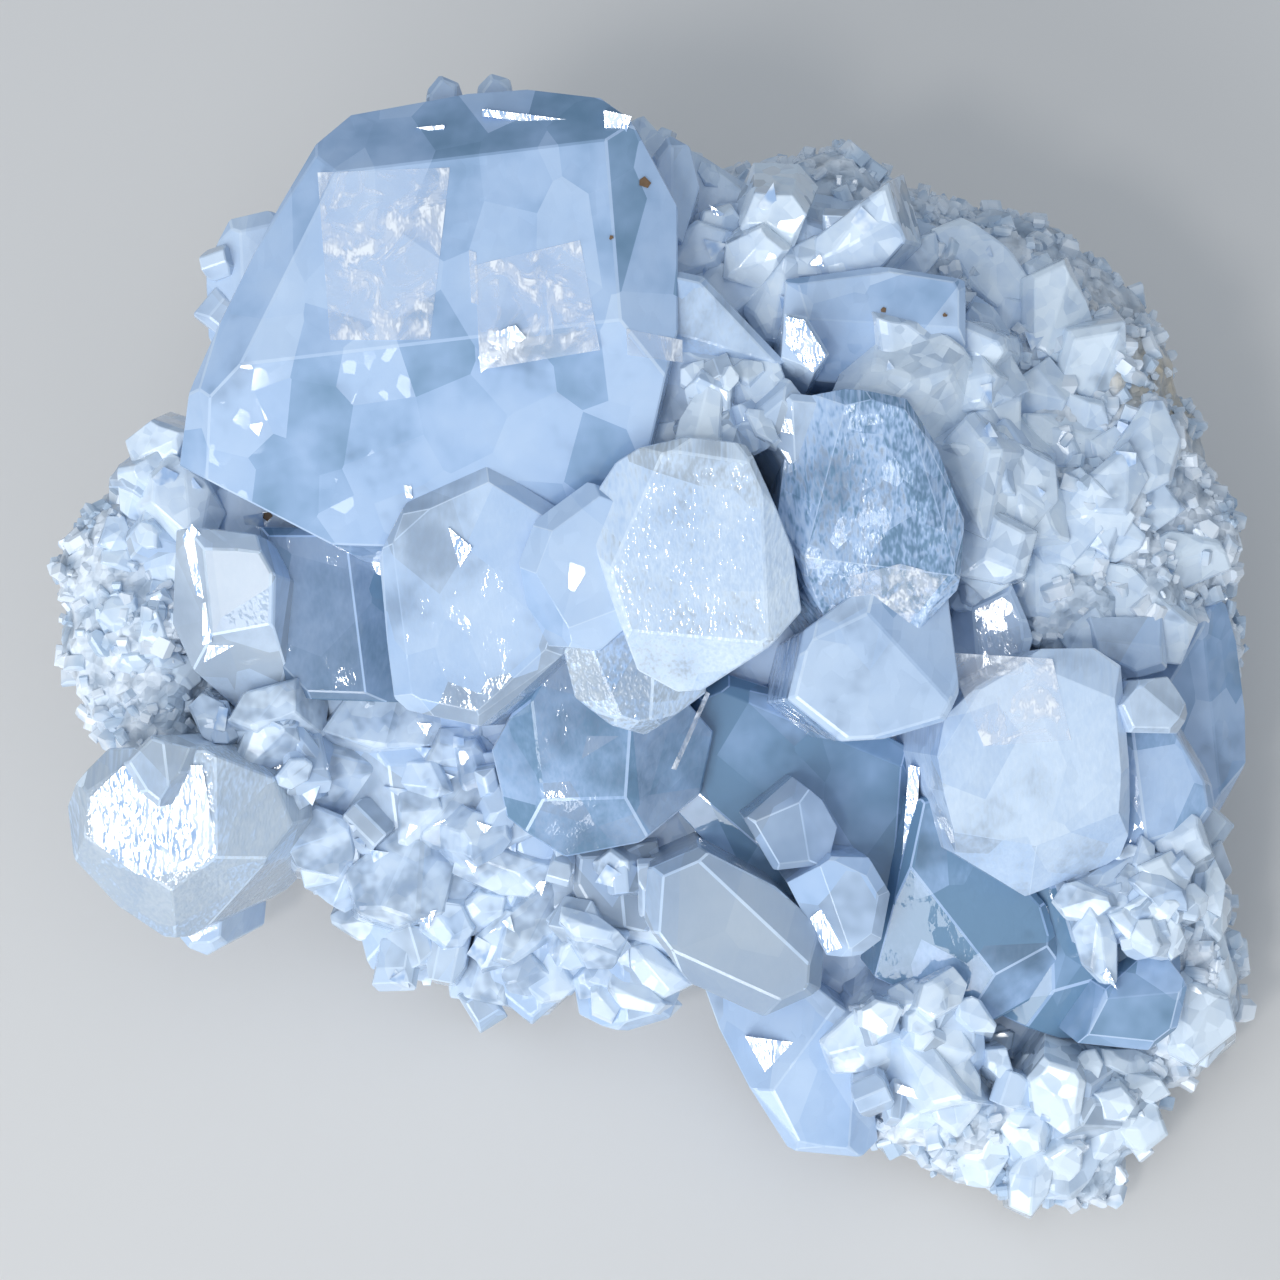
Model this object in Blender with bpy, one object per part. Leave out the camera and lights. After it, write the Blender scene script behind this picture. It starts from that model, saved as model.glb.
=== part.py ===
# A celestite specimen: pale blue crystals grown together on a white granular matrix.
# Lengths in the tables are millimetres. The crystals grow from a slope that faces up and
# forward. A place on it is u to the right, v up the slope and w out of it, as it looks
# from an eye in front of the slope, so a point nearer to the eye is set closer in.

import math
import random

import bmesh
import bpy
from mathutils import Matrix, Vector, noise

MM = 0.001

# Driving dimensions
SLOPE_FACES = 62.0  # degrees above level that the slope faces
SLOPE_HEIGHT = 28.0  # height of the slope's middle over the surface below
EYE = 286.0  # distance of the eye from the slope's middle
ROOT = (2.0, -6.0, -75.0)  # u, v, w of the point that the large crystals spread from
GAP = 0.42  # how far the crystals stay off the matrix, before its facets are counted
LOWEST_CRYSTAL = 2.2  # height of the lowest crystal tip
VOXEL = 1.3  # grain that the matrix's lumps are fused at
MATRIX_FACES = 1400
MATRIX_ROUGHNESS = [(1.5, 7.0), (0.7, 3.0)]  # how far its surface strays, and over what length
BLOCK = 130.0  # block that a crystal is cut from
DROP = 0.8  # how far under its face a crystal's outline is widest, where its row doesn't say
BEVEL_SHARE = (0.4, 1.5)  # smallest and largest share of a crystal's bevel width on one edge
BEVEL_FALL = (32, 58)  # smallest and largest fall of a bevel, in degrees
FORM_SPREAD = (0.94, 1.04)  # how much a small crystal's facets differ in distance
LEAN = (0.2, 1.2)  # smallest and largest lean of a small crystal, in radians
CLOSE = 1e-4  # points this near to a cut lie on it
MERGE = 0.002  # points this near to each other are one
BLOCK_ROUNDNESS = 4  # subdivisions of the matrix's body
LUMP_ROUNDNESS = 3  # subdivisions of its lumps
SEED = 38

# Colour, roughness and transmission of each node
FINISHES = {
    "matrix": ("white granular", (0.86, 0.86, 0.87), 0.7, 0.0),
    "crystals": ("pale blue crystal", (0.62, 0.75, 0.87), 0.12, 0.6),
}

AXES = (8.36, 5.35, 6.87)  # celestite's cell, in angstrom, which sets its facets' angles

# Large crystals: the outline of each as seen, the w of its face at the outline's middle,
# the face's rise in w for each mm of u and v, the facets that fall away from a line on
# the face at an angle in degrees, the width of its edge bevels, its depth, and how far
# under the face its outline is widest, where its facets cut deep.
CRYSTALS = {
    "broad": dict(
        outline=[(-23.3, 42.3), (-14, 44.4), (-9.1, 44.6), (-3.1, 43), (-0.9, 40.4), (3, 34), (3, 24),
                 (0, 12), (-10, 6.5), (-22.5, 6.5), (-25, 7.8), (-33.6, 8), (-38, 12.5), (-35, 20.2),
                 (-28.2, 34)],
        w=12, rise=(0.02, -0.10), bevel=0.5, depth=29, drop=3.6,
        facets=[((-25.4, 37.3), (-3, 40), 36), ((-34.2, 21.8), (-12, 24.4), 17),
                ((-2.8, 41), (-1.6, 26), 24), ((-37, 10.5), (-33, 9), 40),
                ((-34.5, 17), (-37.5, 11), 30)]),
    "clear left": dict(
        outline=[(-37.4, 8.9), (-33.6, 8.8), (-30.5, 8.4), (-28.6, 5), (-28.8, -3), (-30.3, -5.2),
                 (-33.8, -5.4), (-35.6, -2.8), (-38.3, 1.5)],
        w=4.5, rise=(0.16, 0.18), bevel=1.1, depth=22, drop=1.4,
        facets=[((-35, 8), (-34.2, 0), 34), ((-34.4, 0.4), (-29, 1.4), 30)]),
    "dark pane": dict(
        outline=[(-30.5, 9), (-19.5, 9), (-19, -5), (-27.8, -4.7), (-29.3, -3)],
        w=2.5, rise=(0.05, 0.02), bevel=0.5, depth=18, facets=[((-23.5, 8), (-22, -4), 16)]),
    "middle left": dict(
        outline=[(-20.9, 6.5), (-20.3, 0), (-19.7, -4.7), (-18.8, -5.6), (-12.7, -6.9), (-9.6, -4.3),
                 (-5.6, -0.7), (-5.6, 10), (-12, 14), (-18.6, 11)],
        w=10.5, rise=(0.03, 0.05), bevel=0.95, depth=24, drop=1.1,
        facets=[((-19.6, 8), (-14, 13), 20)]),
    "round": dict(
        outline=[(-8.3, 9.6), (-9.6, 6.2), (-9.2, 2.7), (-7.5, -0.4), (-3.2, -0.9), (0.8, 2.6),
                 (1.6, 7), (0, 11), (-4.2, 12.6)],
        w=13, rise=(0.05, 0.02), bevel=1.3, depth=25, drop=1.4,
        facets=[((-8.2, 3.2), (-6, 0.4), 38), ((-5.6, 1), (0.2, 3.2), 20)]),
    "pale middle": dict(
        outline=[(-4.5, 10.4), (-1.9, 14.2), (0, 15.2), (3.4, 16), (10.2, 15.3), (11.2, 13.8),
                 (12.2, 7.2), (13.9, 3.4), (13.1, 1.2), (10.3, -0.6), (7.4, -3.8), (3, -4.1),
                 (-0.2, -2.4), (-2.2, 3)],
        w=14, rise=(0.02, 0.05), bevel=0.6, depth=26, drop=1.6,
        facets=[((-0.4, 10), (2, 15.4), 24), ((10, 5), (10.2, 0.4), 30), ((-1.2, 0.8), (9.5, -0.2), 33),
                ((4, 14.9), (10.5, 13.9), 26)]),
    "small striped": dict(
        outline=[(-6.2, -0.3), (-5.2, -4.6), (-2.3, -6.8), (0.4, -7.6), (2.3, -6.4), (5.3, -4.2),
                 (5.4, 0), (0, 2), (-4.6, 1.6)],
        w=10.6, rise=(-0.05, 0.2), bevel=0.6, depth=18, drop=1.6,
        facets=[((-4, -0.5), (-1.4, -6.4), 28), ((1.2, -0.5), (0.8, -7), 26)]),
    "grey middle": dict(
        outline=[(-12, -8.8), (-9.5, -4.6), (-6, -0.6), (3, -4), (6, -7.4), (4.9, -12.5), (0, -16.2),
                 (-6, -17.4), (-10.7, -14.2)],
        w=4.4, rise=(0.02, 0.08), bevel=0.7, depth=16, drop=1.2,
        facets=[((-8.4, -7), (-7.4, -16), 24), ((-0.8, -7), (-1.4, -16), 26),
                ((-8, -12.8), (-1, -12.6), 16)]),
    "cleaved": dict(
        outline=[(11, 10), (12.1, 19.2), (16.3, 20), (21.3, 19.2), (23.4, 16), (25.8, 9.6), (25.4, 4),
                 (21, -0.6), (15.8, 0), (13.2, 4.4)],
        w=11.5, rise=(0.05, -0.03), bevel=0.7, depth=24, drop=1.2,
        facets=[((14.4, 11), (16.4, 18.6), 20), ((17.2, 6.2), (24.8, 5.2), 14),
                ((22.4, 15), (24.4, 8.6), 24)]),
    "smooth lower": dict(
        outline=[(11.7, -4.8), (13.1, 0.8), (17.7, 4.2), (25, 5.6), (25.4, -4.2), (24.2, -6.5),
                 (19.4, -7.9), (15.9, -8.1)],
        w=12, rise=(-0.03, -0.05), bevel=0.45, depth=23, drop=1.2,
        facets=[((20.2, 0), (24.8, -5), 22), ((13.4, -0.2), (18, 2), 24)]),
    "deep pane": dict(
        outline=[(4.6, -3), (8.8, -1.8), (15.9, -5.6), (21.4, -7.4), (21.5, -10.3), (20.8, -20),
                 (19.6, -27.4), (15, -26.6), (7, -18), (1.6, -15)],
        w=0.5, rise=(0.03, -0.02), bevel=0.6, depth=15,
        facets=[((5, -4), (3, -11), 30), ((8.6, -5), (15.8, -8), 22), ((5.5, -13), (19, -24.5), 14)]),
    "perched one": dict(
        outline=[(8.3, -14.3), (12.4, -11), (14.7, -12.9), (16, -15.1), (15.1, -17.9), (10.7, -18.4)],
        w=5.6, rise=(0.05, -0.1), bevel=0.4, depth=14,
        facets=[((8.8, -14.7), (13, -12.9), 40), ((12.7, -12.6), (13.6, -18), 32)]),
    "perched two": dict(
        outline=[(11.9, -19.6), (15.2, -17.2), (18.3, -17.4), (20, -20.3), (19.3, -24), (17.7, -25.2),
                 (15, -25.3), (13.4, -22.5)],
        w=6.6, rise=(0.03, 0.05), bevel=0.6, depth=15, facets=[((14.6, -18.6), (16.8, -24.8), 30)]),
    "blue flat": dict(
        outline=[(20.8, -18.4), (22, -12.8), (24.2, -12), (26, -14), (31.5, -18), (33.4, -24.5),
                 (33.1, -28.4), (28.8, -30.8), (26.7, -30.8), (19.1, -27.4)],
        w=3.6, rise=(-0.04, 0.02), bevel=0.6, depth=18,
        facets=[((22, -18.6), (28.8, -27.3), 15), ((28, -27), (32.4, -24.6), 26)]),
    "tabular": dict(
        outline=[(23.2, -9.2), (24, -6.1), (26.3, -3.8), (31.5, -0.8), (36, -0.7), (39.4, -3.1),
                 (39.4, -7), (39, -13.5), (39.3, -17), (37.8, -18.1), (31.2, -20.7), (25, -17),
                 (23.7, -12)],
        w=8, rise=(-0.05, 0.03), bevel=0.45, depth=20, drop=1.8,
        facets=[((25.3, -15.4), (31.9, -16.5), 32), ((31.9, -16.4), (37.9, -14), 34),
                ((33, -2.6), (38.8, -5), 20), ((23.8, -9.6), (26.4, -5.4), 26)]),
    "tabular tip": dict(
        outline=[(38.1, -5.3), (39.8, -3.2), (42.3, -2.9), (44.2, -5.9), (43.4, -7.5), (39, -7.4)],
        w=7.8, rise=(-0.12, 0.05), bevel=0.5, depth=14, facets=[((40, -3.6), (43.6, -6.6), 24)]),
    "tabular side": dict(
        outline=[(38.4, -6), (43.6, -6.6), (45.8, -10.3), (46.2, -13), (44, -16.2), (39.4, -17.6),
                 (37.2, -14.4)],
        w=3.8, rise=(-0.22, 0.02), bevel=0.9, depth=14, facets=[((39.4, -7), (40.6, -16.6), 24)]),
    "right rim": dict(
        outline=[(41.6, 2.2), (45.5, 3.7), (47.3, 3), (48.4, 0), (49.2, -5.7), (49.1, -9.8),
                 (46.7, -14.6), (45.2, -17.2), (41.4, -12), (40.6, -2)],
        w=-4.5, rise=(-0.22, 0.02), bevel=1.2, depth=7, facets=[((45, 2), (46.4, -12), 26)]),
    "right wedge": dict(
        outline=[(35.8, 1.8), (42, 1.9), (42.4, -2.4), (40, -3), (36.3, -1.2)],
        w=2.4, rise=(-0.1, 0.1), bevel=0.4, depth=10, facets=[((37, 0), (42, -0.6), 18)]),
    "blue pocket": dict(
        outline=[(25.2, 2.6), (29.5, 4.6), (31.4, 0.2), (30.6, -2.6), (25.6, -4.6), (24.2, -1.1)],
        w=2.2, rise=(0.2, 0.1), bevel=0.5, depth=14, facets=[((26.6, 3), (27.2, -3.8), 26)]),
    "upper facet": dict(
        outline=[(-2, 25.3), (0.4, 30.1), (5, 29.1), (11.6, 22.2), (9.4, 20.6), (0.3, 23.6)],
        w=9.4, rise=(-0.1, 0.1), bevel=0.4, depth=22, facets=[((0.3, 25.3), (11, 22.2), 34)]),
    "upper smooth": dict(
        outline=[(11.6, 28.8), (19, 29.8), (26, 28.7), (26, 23.4), (21, 20.5), (11.2, 21.5)],
        w=6, rise=(-0.02, -0.12), bevel=0.4, depth=20,
        facets=[((11.8, 25.8), (25.4, 25), 22), ((12.8, 28), (14.6, 22), 18)]),
    "upper rough": dict(
        outline=[(2.1, 33.2), (6.2, 35.4), (10, 35.1), (16.6, 33.1), (21.4, 30), (20, 26), (10, 25),
                 (2.4, 27.6)],
        w=3, rise=(0, -0.12), bevel=0.9, depth=17,
        facets=[((3, 31), (10, 33.4), 24), ((12, 33), (20, 28.8), 22)]),
    "sparkle bank": dict(
        outline=[(-0.4, 24), (11.4, 22.2), (11.2, 19.8), (9.8, 17.4), (8.6, 15.4), (2.2, 15.6),
                 (-0.6, 19)],
        w=8.8, rise=(0.02, 0.0), bevel=0.8, depth=20,
        facets=[((4.6, 23), (6, 16), 18), ((9, 22), (8.4, 16.4), 24)]),
    "bright chip": dict(
        outline=[(11.5, 26.1), (13.3, 25.8), (15.1, 22.8), (13.8, 21), (11.3, 22.6)],
        w=9.4, rise=(0.1, 0.1), bevel=0.3, depth=14, facets=[((12.6, 26), (12.9, 21.8), 26)]),
    "upper right rough": dict(
        outline=[(14.4, 22.4), (20, 25.2), (26, 25.2), (28.6, 22), (28.5, 18.4), (23, 17), (15, 18.6)],
        w=4.4, rise=(-0.05, -0.02), bevel=0.8, depth=17, facets=[((20.6, 24.6), (22, 18), 18)]),
    "striped chip": dict(
        outline=[(9.9, 17.4), (12.1, 19.6), (15.1, 19.3), (14, 14.4), (12, 13.6)],
        w=10.4, rise=(-0.25, 0.1), bevel=0.35, depth=16, facets=[((12.2, 19), (12.4, 14.4), 26)]),
    "pale right": dict(
        outline=[(25, 9.6), (24.2, 14), (26.6, 18.9), (30.8, 18.6), (31.2, 12), (30, 5), (27, 2.8),
                 (24.8, 3.6)],
        w=5, rise=(-0.1, 0.02), bevel=0.8, depth=18, facets=[((27.6, 17), (28.4, 4.6), 22)]),
    "long clear": dict(
        outline=[(0.6, -18.4), (4.8, -16.6), (10.9, -19.8), (15, -23.5), (14.7, -28.2), (10, -30.3),
                 (4, -27.6), (0.3, -22.6)],
        w=6, rise=(0.02, 0.06), bevel=0.9, depth=18,
        facets=[((4.4, -17.4), (14, -26.4), 22), ((3.4, -25.2), (10.4, -28.4), 30)]),
    "round clear": dict(
        outline=[(-5, -16.6), (1.4, -16.2), (1.9, -20), (0.7, -23.4), (-3.6, -23.2), (-5.4, -20)],
        w=0.8, rise=(0, 0.05), bevel=0.8, depth=14, facets=[((-1.8, -16.6), (-1.2, -23), 22)]),
    "lower front": dict(
        outline=[(3.8, -27.6), (6.5, -32), (8.4, -36.7), (11.2, -40.6), (17.6, -41.2), (20.4, -40),
                 (18.4, -34), (17.9, -30.2), (14, -27.6), (8, -26.4)],
        w=1.6, rise=(0, 0.05), bevel=0.6, depth=9, drop=1.4,
        facets=[((8.6, -31.8), (10.8, -36.2), 26), ((10.7, -36), (13.8, -31.8), 30)]),
    "sparkle front": dict(
        outline=[(17.5, -29.5), (22, -27.2), (27.4, -29.4), (27.8, -34), (25.2, -37.2), (20, -37.6),
                 (17.6, -34)],
        w=3.6, rise=(0, 0.03), bevel=0.8, depth=15,
        facets=[((18.4, -33.4), (26, -34.6), 26), ((21.8, -28), (22.8, -36.4), 20)]),
    "blue right": dict(
        outline=[(28.6, -19), (36, -18.2), (43, -21.8), (43.4, -26), (42.8, -30.8), (40, -32.6),
                 (34, -32.2), (29.3, -30.4)],
        w=2.4, rise=(-0.02, 0.05), bevel=0.6, depth=16,
        facets=[((32.8, -19), (33.2, -31), 22), ((33.4, -28), (42, -25.6), 20)]),
    "blue right low": dict(
        outline=[(33.2, -30.2), (37, -27.8), (38.4, -24.8), (42, -24.3), (43.6, -27.5), (42.7, -31.2),
                 (40.6, -32.8), (34.8, -32.2)],
        w=4.8, rise=(-0.02, 0.04), bevel=0.5, depth=14, facets=[((34, -29), (42.8, -28.2), 28)]),
    "sparkle right": dict(
        outline=[(34.3, -19.6), (39, -17.2), (43.2, -17.2), (44.6, -19), (42.7, -23), (36, -25)],
        w=5.8, rise=(-0.05, 0), bevel=0.7, depth=14, facets=[((36, -19.4), (43.6, -20.6), 22)]),
    "corner": dict(
        outline=[(28.8, -37.4), (33, -34.6), (37.4, -36.4), (38.3, -41), (35, -44.9), (31, -44.7),
                 (29, -41)],
        w=1.6, rise=(0, 0.06), bevel=0.7, depth=9, facets=[((33.4, -35), (34.2, -44.4), 26)]),
    "frosted right": dict(
        outline=[(42, -20), (45, -19.2), (46.9, -23), (48.4, -28), (47.7, -32.2), (45.8, -34.5),
                 (41.4, -33)],
        w=-0.4, rise=(-0.1, 0.04), bevel=0.9, depth=12, facets=[((44, -20), (44.8, -33.4), 26)]),
    "mirror": dict(
        outline=[(-45.9, -13.3), (-45.1, -17), (-42.1, -21.4), (-38.5, -23.9), (-36.4, -23.9),
                 (-34.9, -23), (-30, -18), (-28, -14.8), (-29.2, -11), (-33.9, -8.4), (-41.8, -8.6)],
        w=5, rise=(0.02, 0.02), bevel=0.35, depth=14, drop=2.4,
        facets=[((-34, -9), (-33.9, -17.5), 26), ((-44.3, -15.8), (-37.5, -20), 36),
                ((-37.5, -20), (-33.9, -17.4), 38), ((-44.4, -15.4), (-44.2, -12), 40),
                ((-43.4, -11.6), (-40.8, -9.8), 34)]),
    "mirror notch": dict(
        outline=[(-41.2, -9.8), (-39, -7.6), (-36, -8.6), (-36.6, -10.6), (-38.3, -13.4), (-39.6, -12.4)],
        w=7, rise=(0.02, -0.12), bevel=0.3, depth=14, facets=[((-38.2, -7.8), (-37.6, -12.8), 22)]),
    "under mirror": dict(
        outline=[(-37.8, -21.5), (-37, -23.6), (-35.3, -25.6), (-33.2, -24.4), (-32.8, -20), (-36, -19)],
        w=-4, rise=(0, 0), bevel=0.6, depth=6, facets=[]),
    "left bank": dict(
        outline=[(-34.5, -6), (-30, -6.4), (-27.2, -5.6), (-25.4, -9), (-26, -12.8), (-29.5, -13.6),
                 (-34, -10)],
        w=0.8, rise=(0, 0), bevel=0.8, depth=15, facets=[((-30, -6.8), (-29, -13), 22)]),
    "grey left": dict(
        outline=[(-27.4, -5.6), (-20, -5), (-12.6, -6.8), (-12, -10), (-14.2, -16), (-21, -17),
                 (-25.6, -13.2)],
        w=-1.6, rise=(0, 0.08), bevel=0.8, depth=13,
        facets=[((-20.6, -6), (-19.4, -15.6), 22), ((-25, -9.6), (-14, -10.4), 16)]),
    "lower left": dict(
        outline=[(-25, -16.6), (-20, -13.6), (-14.4, -16.6), (-13.2, -24), (-17.6, -28.2), (-22, -26.8)],
        w=-4.6, rise=(0, 0.1), bevel=0.9, depth=9,
        facets=[((-19.6, -14.6), (-18.4, -27), 24), ((-23.6, -22.6), (-14.4, -22.2), 24)]),
    "lower middle": dict(
        outline=[(-13.6, -18.6), (-8, -16.4), (-3.8, -20), (-4.4, -27), (-8.6, -30.8), (-12.7, -27.4)],
        w=-4, rise=(0, 0.12), bevel=0.8, depth=9, facets=[((-8.4, -17.6), (-8, -29.6), 26)]),
    "lower edge": dict(
        outline=[(-6, -24.6), (0, -23.4), (3.6, -27.4), (2.4, -30.6), (-1, -31.6), (-5, -30.4)],
        w=-3.4, rise=(0, 0.1), bevel=0.7, depth=8, facets=[((-1.6, -24.6), (-1, -31), 24)]),
    "step": dict(
        outline=[(-14, -9.2), (-10, -8.6), (-6, -13), (-5.4, -18), (-11, -19.4), (-14.6, -15)],
        w=-0.6, rise=(0, 0.06), bevel=0.7, depth=12, facets=[((-11.4, -10), (-9, -18.6), 24)]),
    "back left": dict(
        outline=[(-35.2, 29.6), (-33, 33.9), (-30, 34.6), (-27, 33.5), (-28, 27), (-32.6, 21),
                 (-35, 24.6)],
        w=-4, rise=(0, 0), bevel=1.1, depth=9, facets=[((-32, 33), (-31.6, 24), 24)]),
    "left shoulder": dict(
        outline=[(-40.7, 14.8), (-38, 17.1), (-35, 17.3), (-33, 11), (-36, 8.6), (-40.5, 9.6)],
        w=-2.4, rise=(0, 0), bevel=0.8, depth=9, facets=[((-38.6, 16), (-37.6, 9.6), 24)]),
    "behind broad": dict(
        outline=[(-3, 41.2), (2, 41.1), (5.4, 38.9), (10.4, 37), (12, 33), (6, 30), (-2, 30)],
        w=-1, rise=(0, -0.05), bevel=0.7, depth=15,
        facets=[((3, 40), (4, 31), 18), ((4, 37.2), (11, 34.8), 24)]),
    "spur": dict(
        outline=[(1, 38.6), (2.4, 40.4), (4, 39.5), (4.8, 36.6), (3.4, 31.6), (0, 33)],
        w=4.4, rise=(0, -0.1), bevel=0.4, depth=14, facets=[((2.6, 39.6), (2.6, 33), 28)]),
    "tip one": dict(
        outline=[(-17, 44), (-16, 45.1), (-14.4, 44.4), (-14.6, 41), (-17, 41)],
        w=-1.5, rise=(0, 0), bevel=0.3, depth=9, facets=[]),
    "tip two": dict(
        outline=[(-13, 44.4), (-11.8, 45.3), (-10.4, 44.9), (-9.6, 41), (-13, 41)],
        w=-1, rise=(0, 0), bevel=0.3, depth=9, facets=[]),
    "small blue": dict(
        outline=[(25.9, 25.8), (27, 27.9), (28.4, 26.6), (30, 24), (29, 22), (26.4, 23.4)],
        w=-0.6, rise=(-0.1, -0.1), bevel=0.4, depth=12, facets=[((27, 27), (28, 23), 26)]),
    "upper bank": dict(
        outline=[(10, 36.8), (18, 35.6), (27, 32.4), (31, 28), (28, 22), (18, 26), (9, 30)],
        w=-3.6, rise=(-0.02, -0.1), bevel=1.4, depth=11,
        facets=[((14, 35.4), (16, 27), 16), ((22, 33), (23, 24), 18)]),
}

# The crystals' common base between the large ones, under a cover of small crystals
BASE = dict(
    outline=[(-30, 28), (-16, 38), (8, 34), (24, 28), (33, 16), (39, 2), (43, -14), (42, -28),
             (32, -38), (14, -37), (0, -27), (-12, -24), (-24, -20), (-36, -12), (-38, 4), (-36, 18)],
    w=-2.4, rise=(0.0, 0.0), bevel=4.0, depth=8,
    facets=[((-20, 30), (-36, 0), 9), ((-20, -18), (10, -30), 8)])

# Banks of small crystals: middle u, v, w, half width and height, tilt of the bank in w
# for each mm of u and v, how many, and the smallest and largest size
BANKS = [
    dict(at=(-31, -8, 0.5), reach=(4.5, 3), tilt=(0.0, 0.0), count=5, size=(1.6, 2.6)),
    dict(at=(-19, -19, -5), reach=(6, 7), tilt=(0.0, 0.1), count=7, size=(2.0, 3.4)),
    dict(at=(-7, -24, -5.5), reach=(7, 6), tilt=(0.0, 0.1), count=8, size=(1.8, 3.2)),
    dict(at=(-2, -19.5, 0.2), reach=(5, 4), tilt=(0.0, 0.1), count=5, size=(1.4, 2.4)),
    dict(at=(-10, -12, 0.5), reach=(4, 5), tilt=(0.1, 0.05), count=3, size=(1.4, 2.4)),
    dict(at=(22, -33, 3), reach=(5, 4), tilt=(0.0, 0.05), count=5, size=(1.6, 2.6)),
    dict(at=(38, -22, 4), reach=(5, 3), tilt=(-0.05, 0.0), count=4, size=(1.4, 2.4)),
    dict(at=(33, -35, 1.2), reach=(4, 3), tilt=(0.0, 0.05), count=4, size=(1.6, 2.8)),
    dict(at=(7, 19, 9), reach=(4, 3.5), tilt=(0.0, 0.0), count=5, size=(1.4, 2.4)),
    dict(at=(12, 32, 2.6), reach=(8, 2.5), tilt=(-0.1, -0.1), count=5, size=(1.4, 2.6)),
    dict(at=(22, 22, 3.6), reach=(5, 3), tilt=(-0.1, -0.05), count=4, size=(1.4, 2.4)),
    dict(at=(29, 12, 3), reach=(3, 6), tilt=(-0.1, -0.05), count=4, size=(1.6, 2.6)),
    dict(at=(-38, 12, -3.5), reach=(3, 4), tilt=(0.0, 0.0), count=3, size=(1.6, 2.6)),
    dict(at=(-31, 27, -5.5), reach=(3, 5), tilt=(0.0, -0.1), count=4, size=(1.6, 2.8)),
    dict(at=(44, -18, 0), reach=(2.5, 5), tilt=(-0.2, 0.0), count=3, size=(1.6, 2.6)),
    dict(at=(0, 37, -2), reach=(6, 3), tilt=(0.0, -0.1), count=2, size=(1.6, 2.6)),
]

# Habits of the small crystals: half widths along the a, b and c axes, and the share of
# each form's distance from the middle
HABITS = [
    dict(half=(1.0, 0.72, 0.5), forms={(0, 1, 1): 0.82, (1, 0, 2): 0.8}),
    dict(half=(0.8, 1.0, 0.62), forms={(0, 1, 1): 0.76, (2, 1, 0): 0.8}),
    dict(half=(0.62, 0.7, 1.25), forms={(0, 1, 1): 0.72, (2, 1, 0): 0.84}),
]

# Lumps of the matrix: u, v, w and radius
LUMPS = [
    (9.5, 32.6, -12, 6), (15.5, 32, -12, 6.8), (21, 29.3, -12, 6.6), (26.3, 26.6, -11.5, 6.8),
    (31, 23.2, -11, 7), (35.4, 19.4, -10.5, 7.2), (38.3, 13.6, -10, 7.6), (40.2, 7.5, -9.5, 8),
    (41.2, 1.2, -11, 7), (32, 17, -6.5, 6), (35, 9.6, -5.4, 7), (34, 3, -2.8, 4.7),
    (40.6, 3.5, -2.6, 3.2), (28.5, 20, -6.5, 5.4), (38.6, 15.6, -6.6, 5), (42.8, 9, -7.4, 4.6),
    (24, 29, -7.5, 4.6), (-40.3, 4.6, -8.5, 5.6), (-41.2, 7, -7.5, 3.8), (-40.7, 0.2, -8.5, 5.2),
    (-39.4, -3.6, -8, 4.8), (-38, -6.8, -6.5, 4.4), (-37.5, 8, -8.5, 4.4), (-41.2, -2.6, -7, 3.6),
    (-39, 2, -5.6, 4.2), (42.6, -20.5, -6.5, 4.8), (43, -27, -5.5, 5.2), (42.2, -31.4, -4.2, 4),
    (38, -35.6, -2.8, 4.2), (33, -38.6, -2.4, 4.2), (27, -38.6, -2.4, 4.2), (22.5, -38, -2.8, 3.8),
    (35.4, -41.2, -3.6, 3.4), (29.6, -42.2, -3, 2.8), (25, -41.4, -3.2, 2.8), (44.4, -24, -3.6, 3.4),
    (-28, 18, -11.5, 5.6), (-23.5, 25, -11.5, 6.2), (-16, 30, -12, 6.4), (-7, 32, -12, 6.4),
    (2, 33, -12, 6), (41, -5, -13.5, 5.2), (40, -12, -12.5, 5.2), (-34, -6, -9, 5),
]

# Body of the matrix under the lumps: u, v, w of the middle and half sizes along them
BODY = [
    dict(at=(2, 6, -20.5), half=(38, 31, 10.5)),
    dict(at=(26, 12, -17), half=(19, 24, 9.5)),
    dict(at=(31, -24, -8.2), half=(14, 12.5, 4)),
    dict(at=(-28, 6, -15), half=(13, 14, 8)),
    dict(at=(-12, 24, -15), half=(22, 14, 9)),
]
FOOT = dict(at=(3, 3, 3.6), half=(27, 22, 7.4))  # x, y, z: its cut makes the flat spot

tilt = math.radians(SLOPE_FACES)
RIGHT = Vector((1, 0, 0))
UP = Vector((0, math.sin(tilt), math.cos(tilt)))
OUT = Vector((0, -math.cos(tilt), math.sin(tilt)))
MIDDLE = Vector((0, 0, SLOPE_HEIGHT))


def spot(u, v, w):
    """The point in millimetres that is seen at u, v and lies w out of the slope."""
    nearer = 1 - w / EYE
    return MIDDLE + RIGHT * u * nearer + UP * v * nearer + OUT * w


def clear_scene():
    for obj in list(bpy.data.objects):
        bpy.data.objects.remove(obj, do_unlink=True)


def material(name, colour, roughness, transmission):
    made = bpy.data.materials.new(name)
    made.use_nodes = True
    shader = made.node_tree.nodes["Principled BSDF"]
    shader.inputs["Base Color"].default_value = (*colour, 1)
    shader.inputs["Roughness"].default_value = roughness
    shader.inputs["Transmission Weight"].default_value = transmission
    shader.inputs["IOR"].default_value = 1.62 if transmission else 1.5
    made.diffuse_color = (*colour, 1)
    return made


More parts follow.
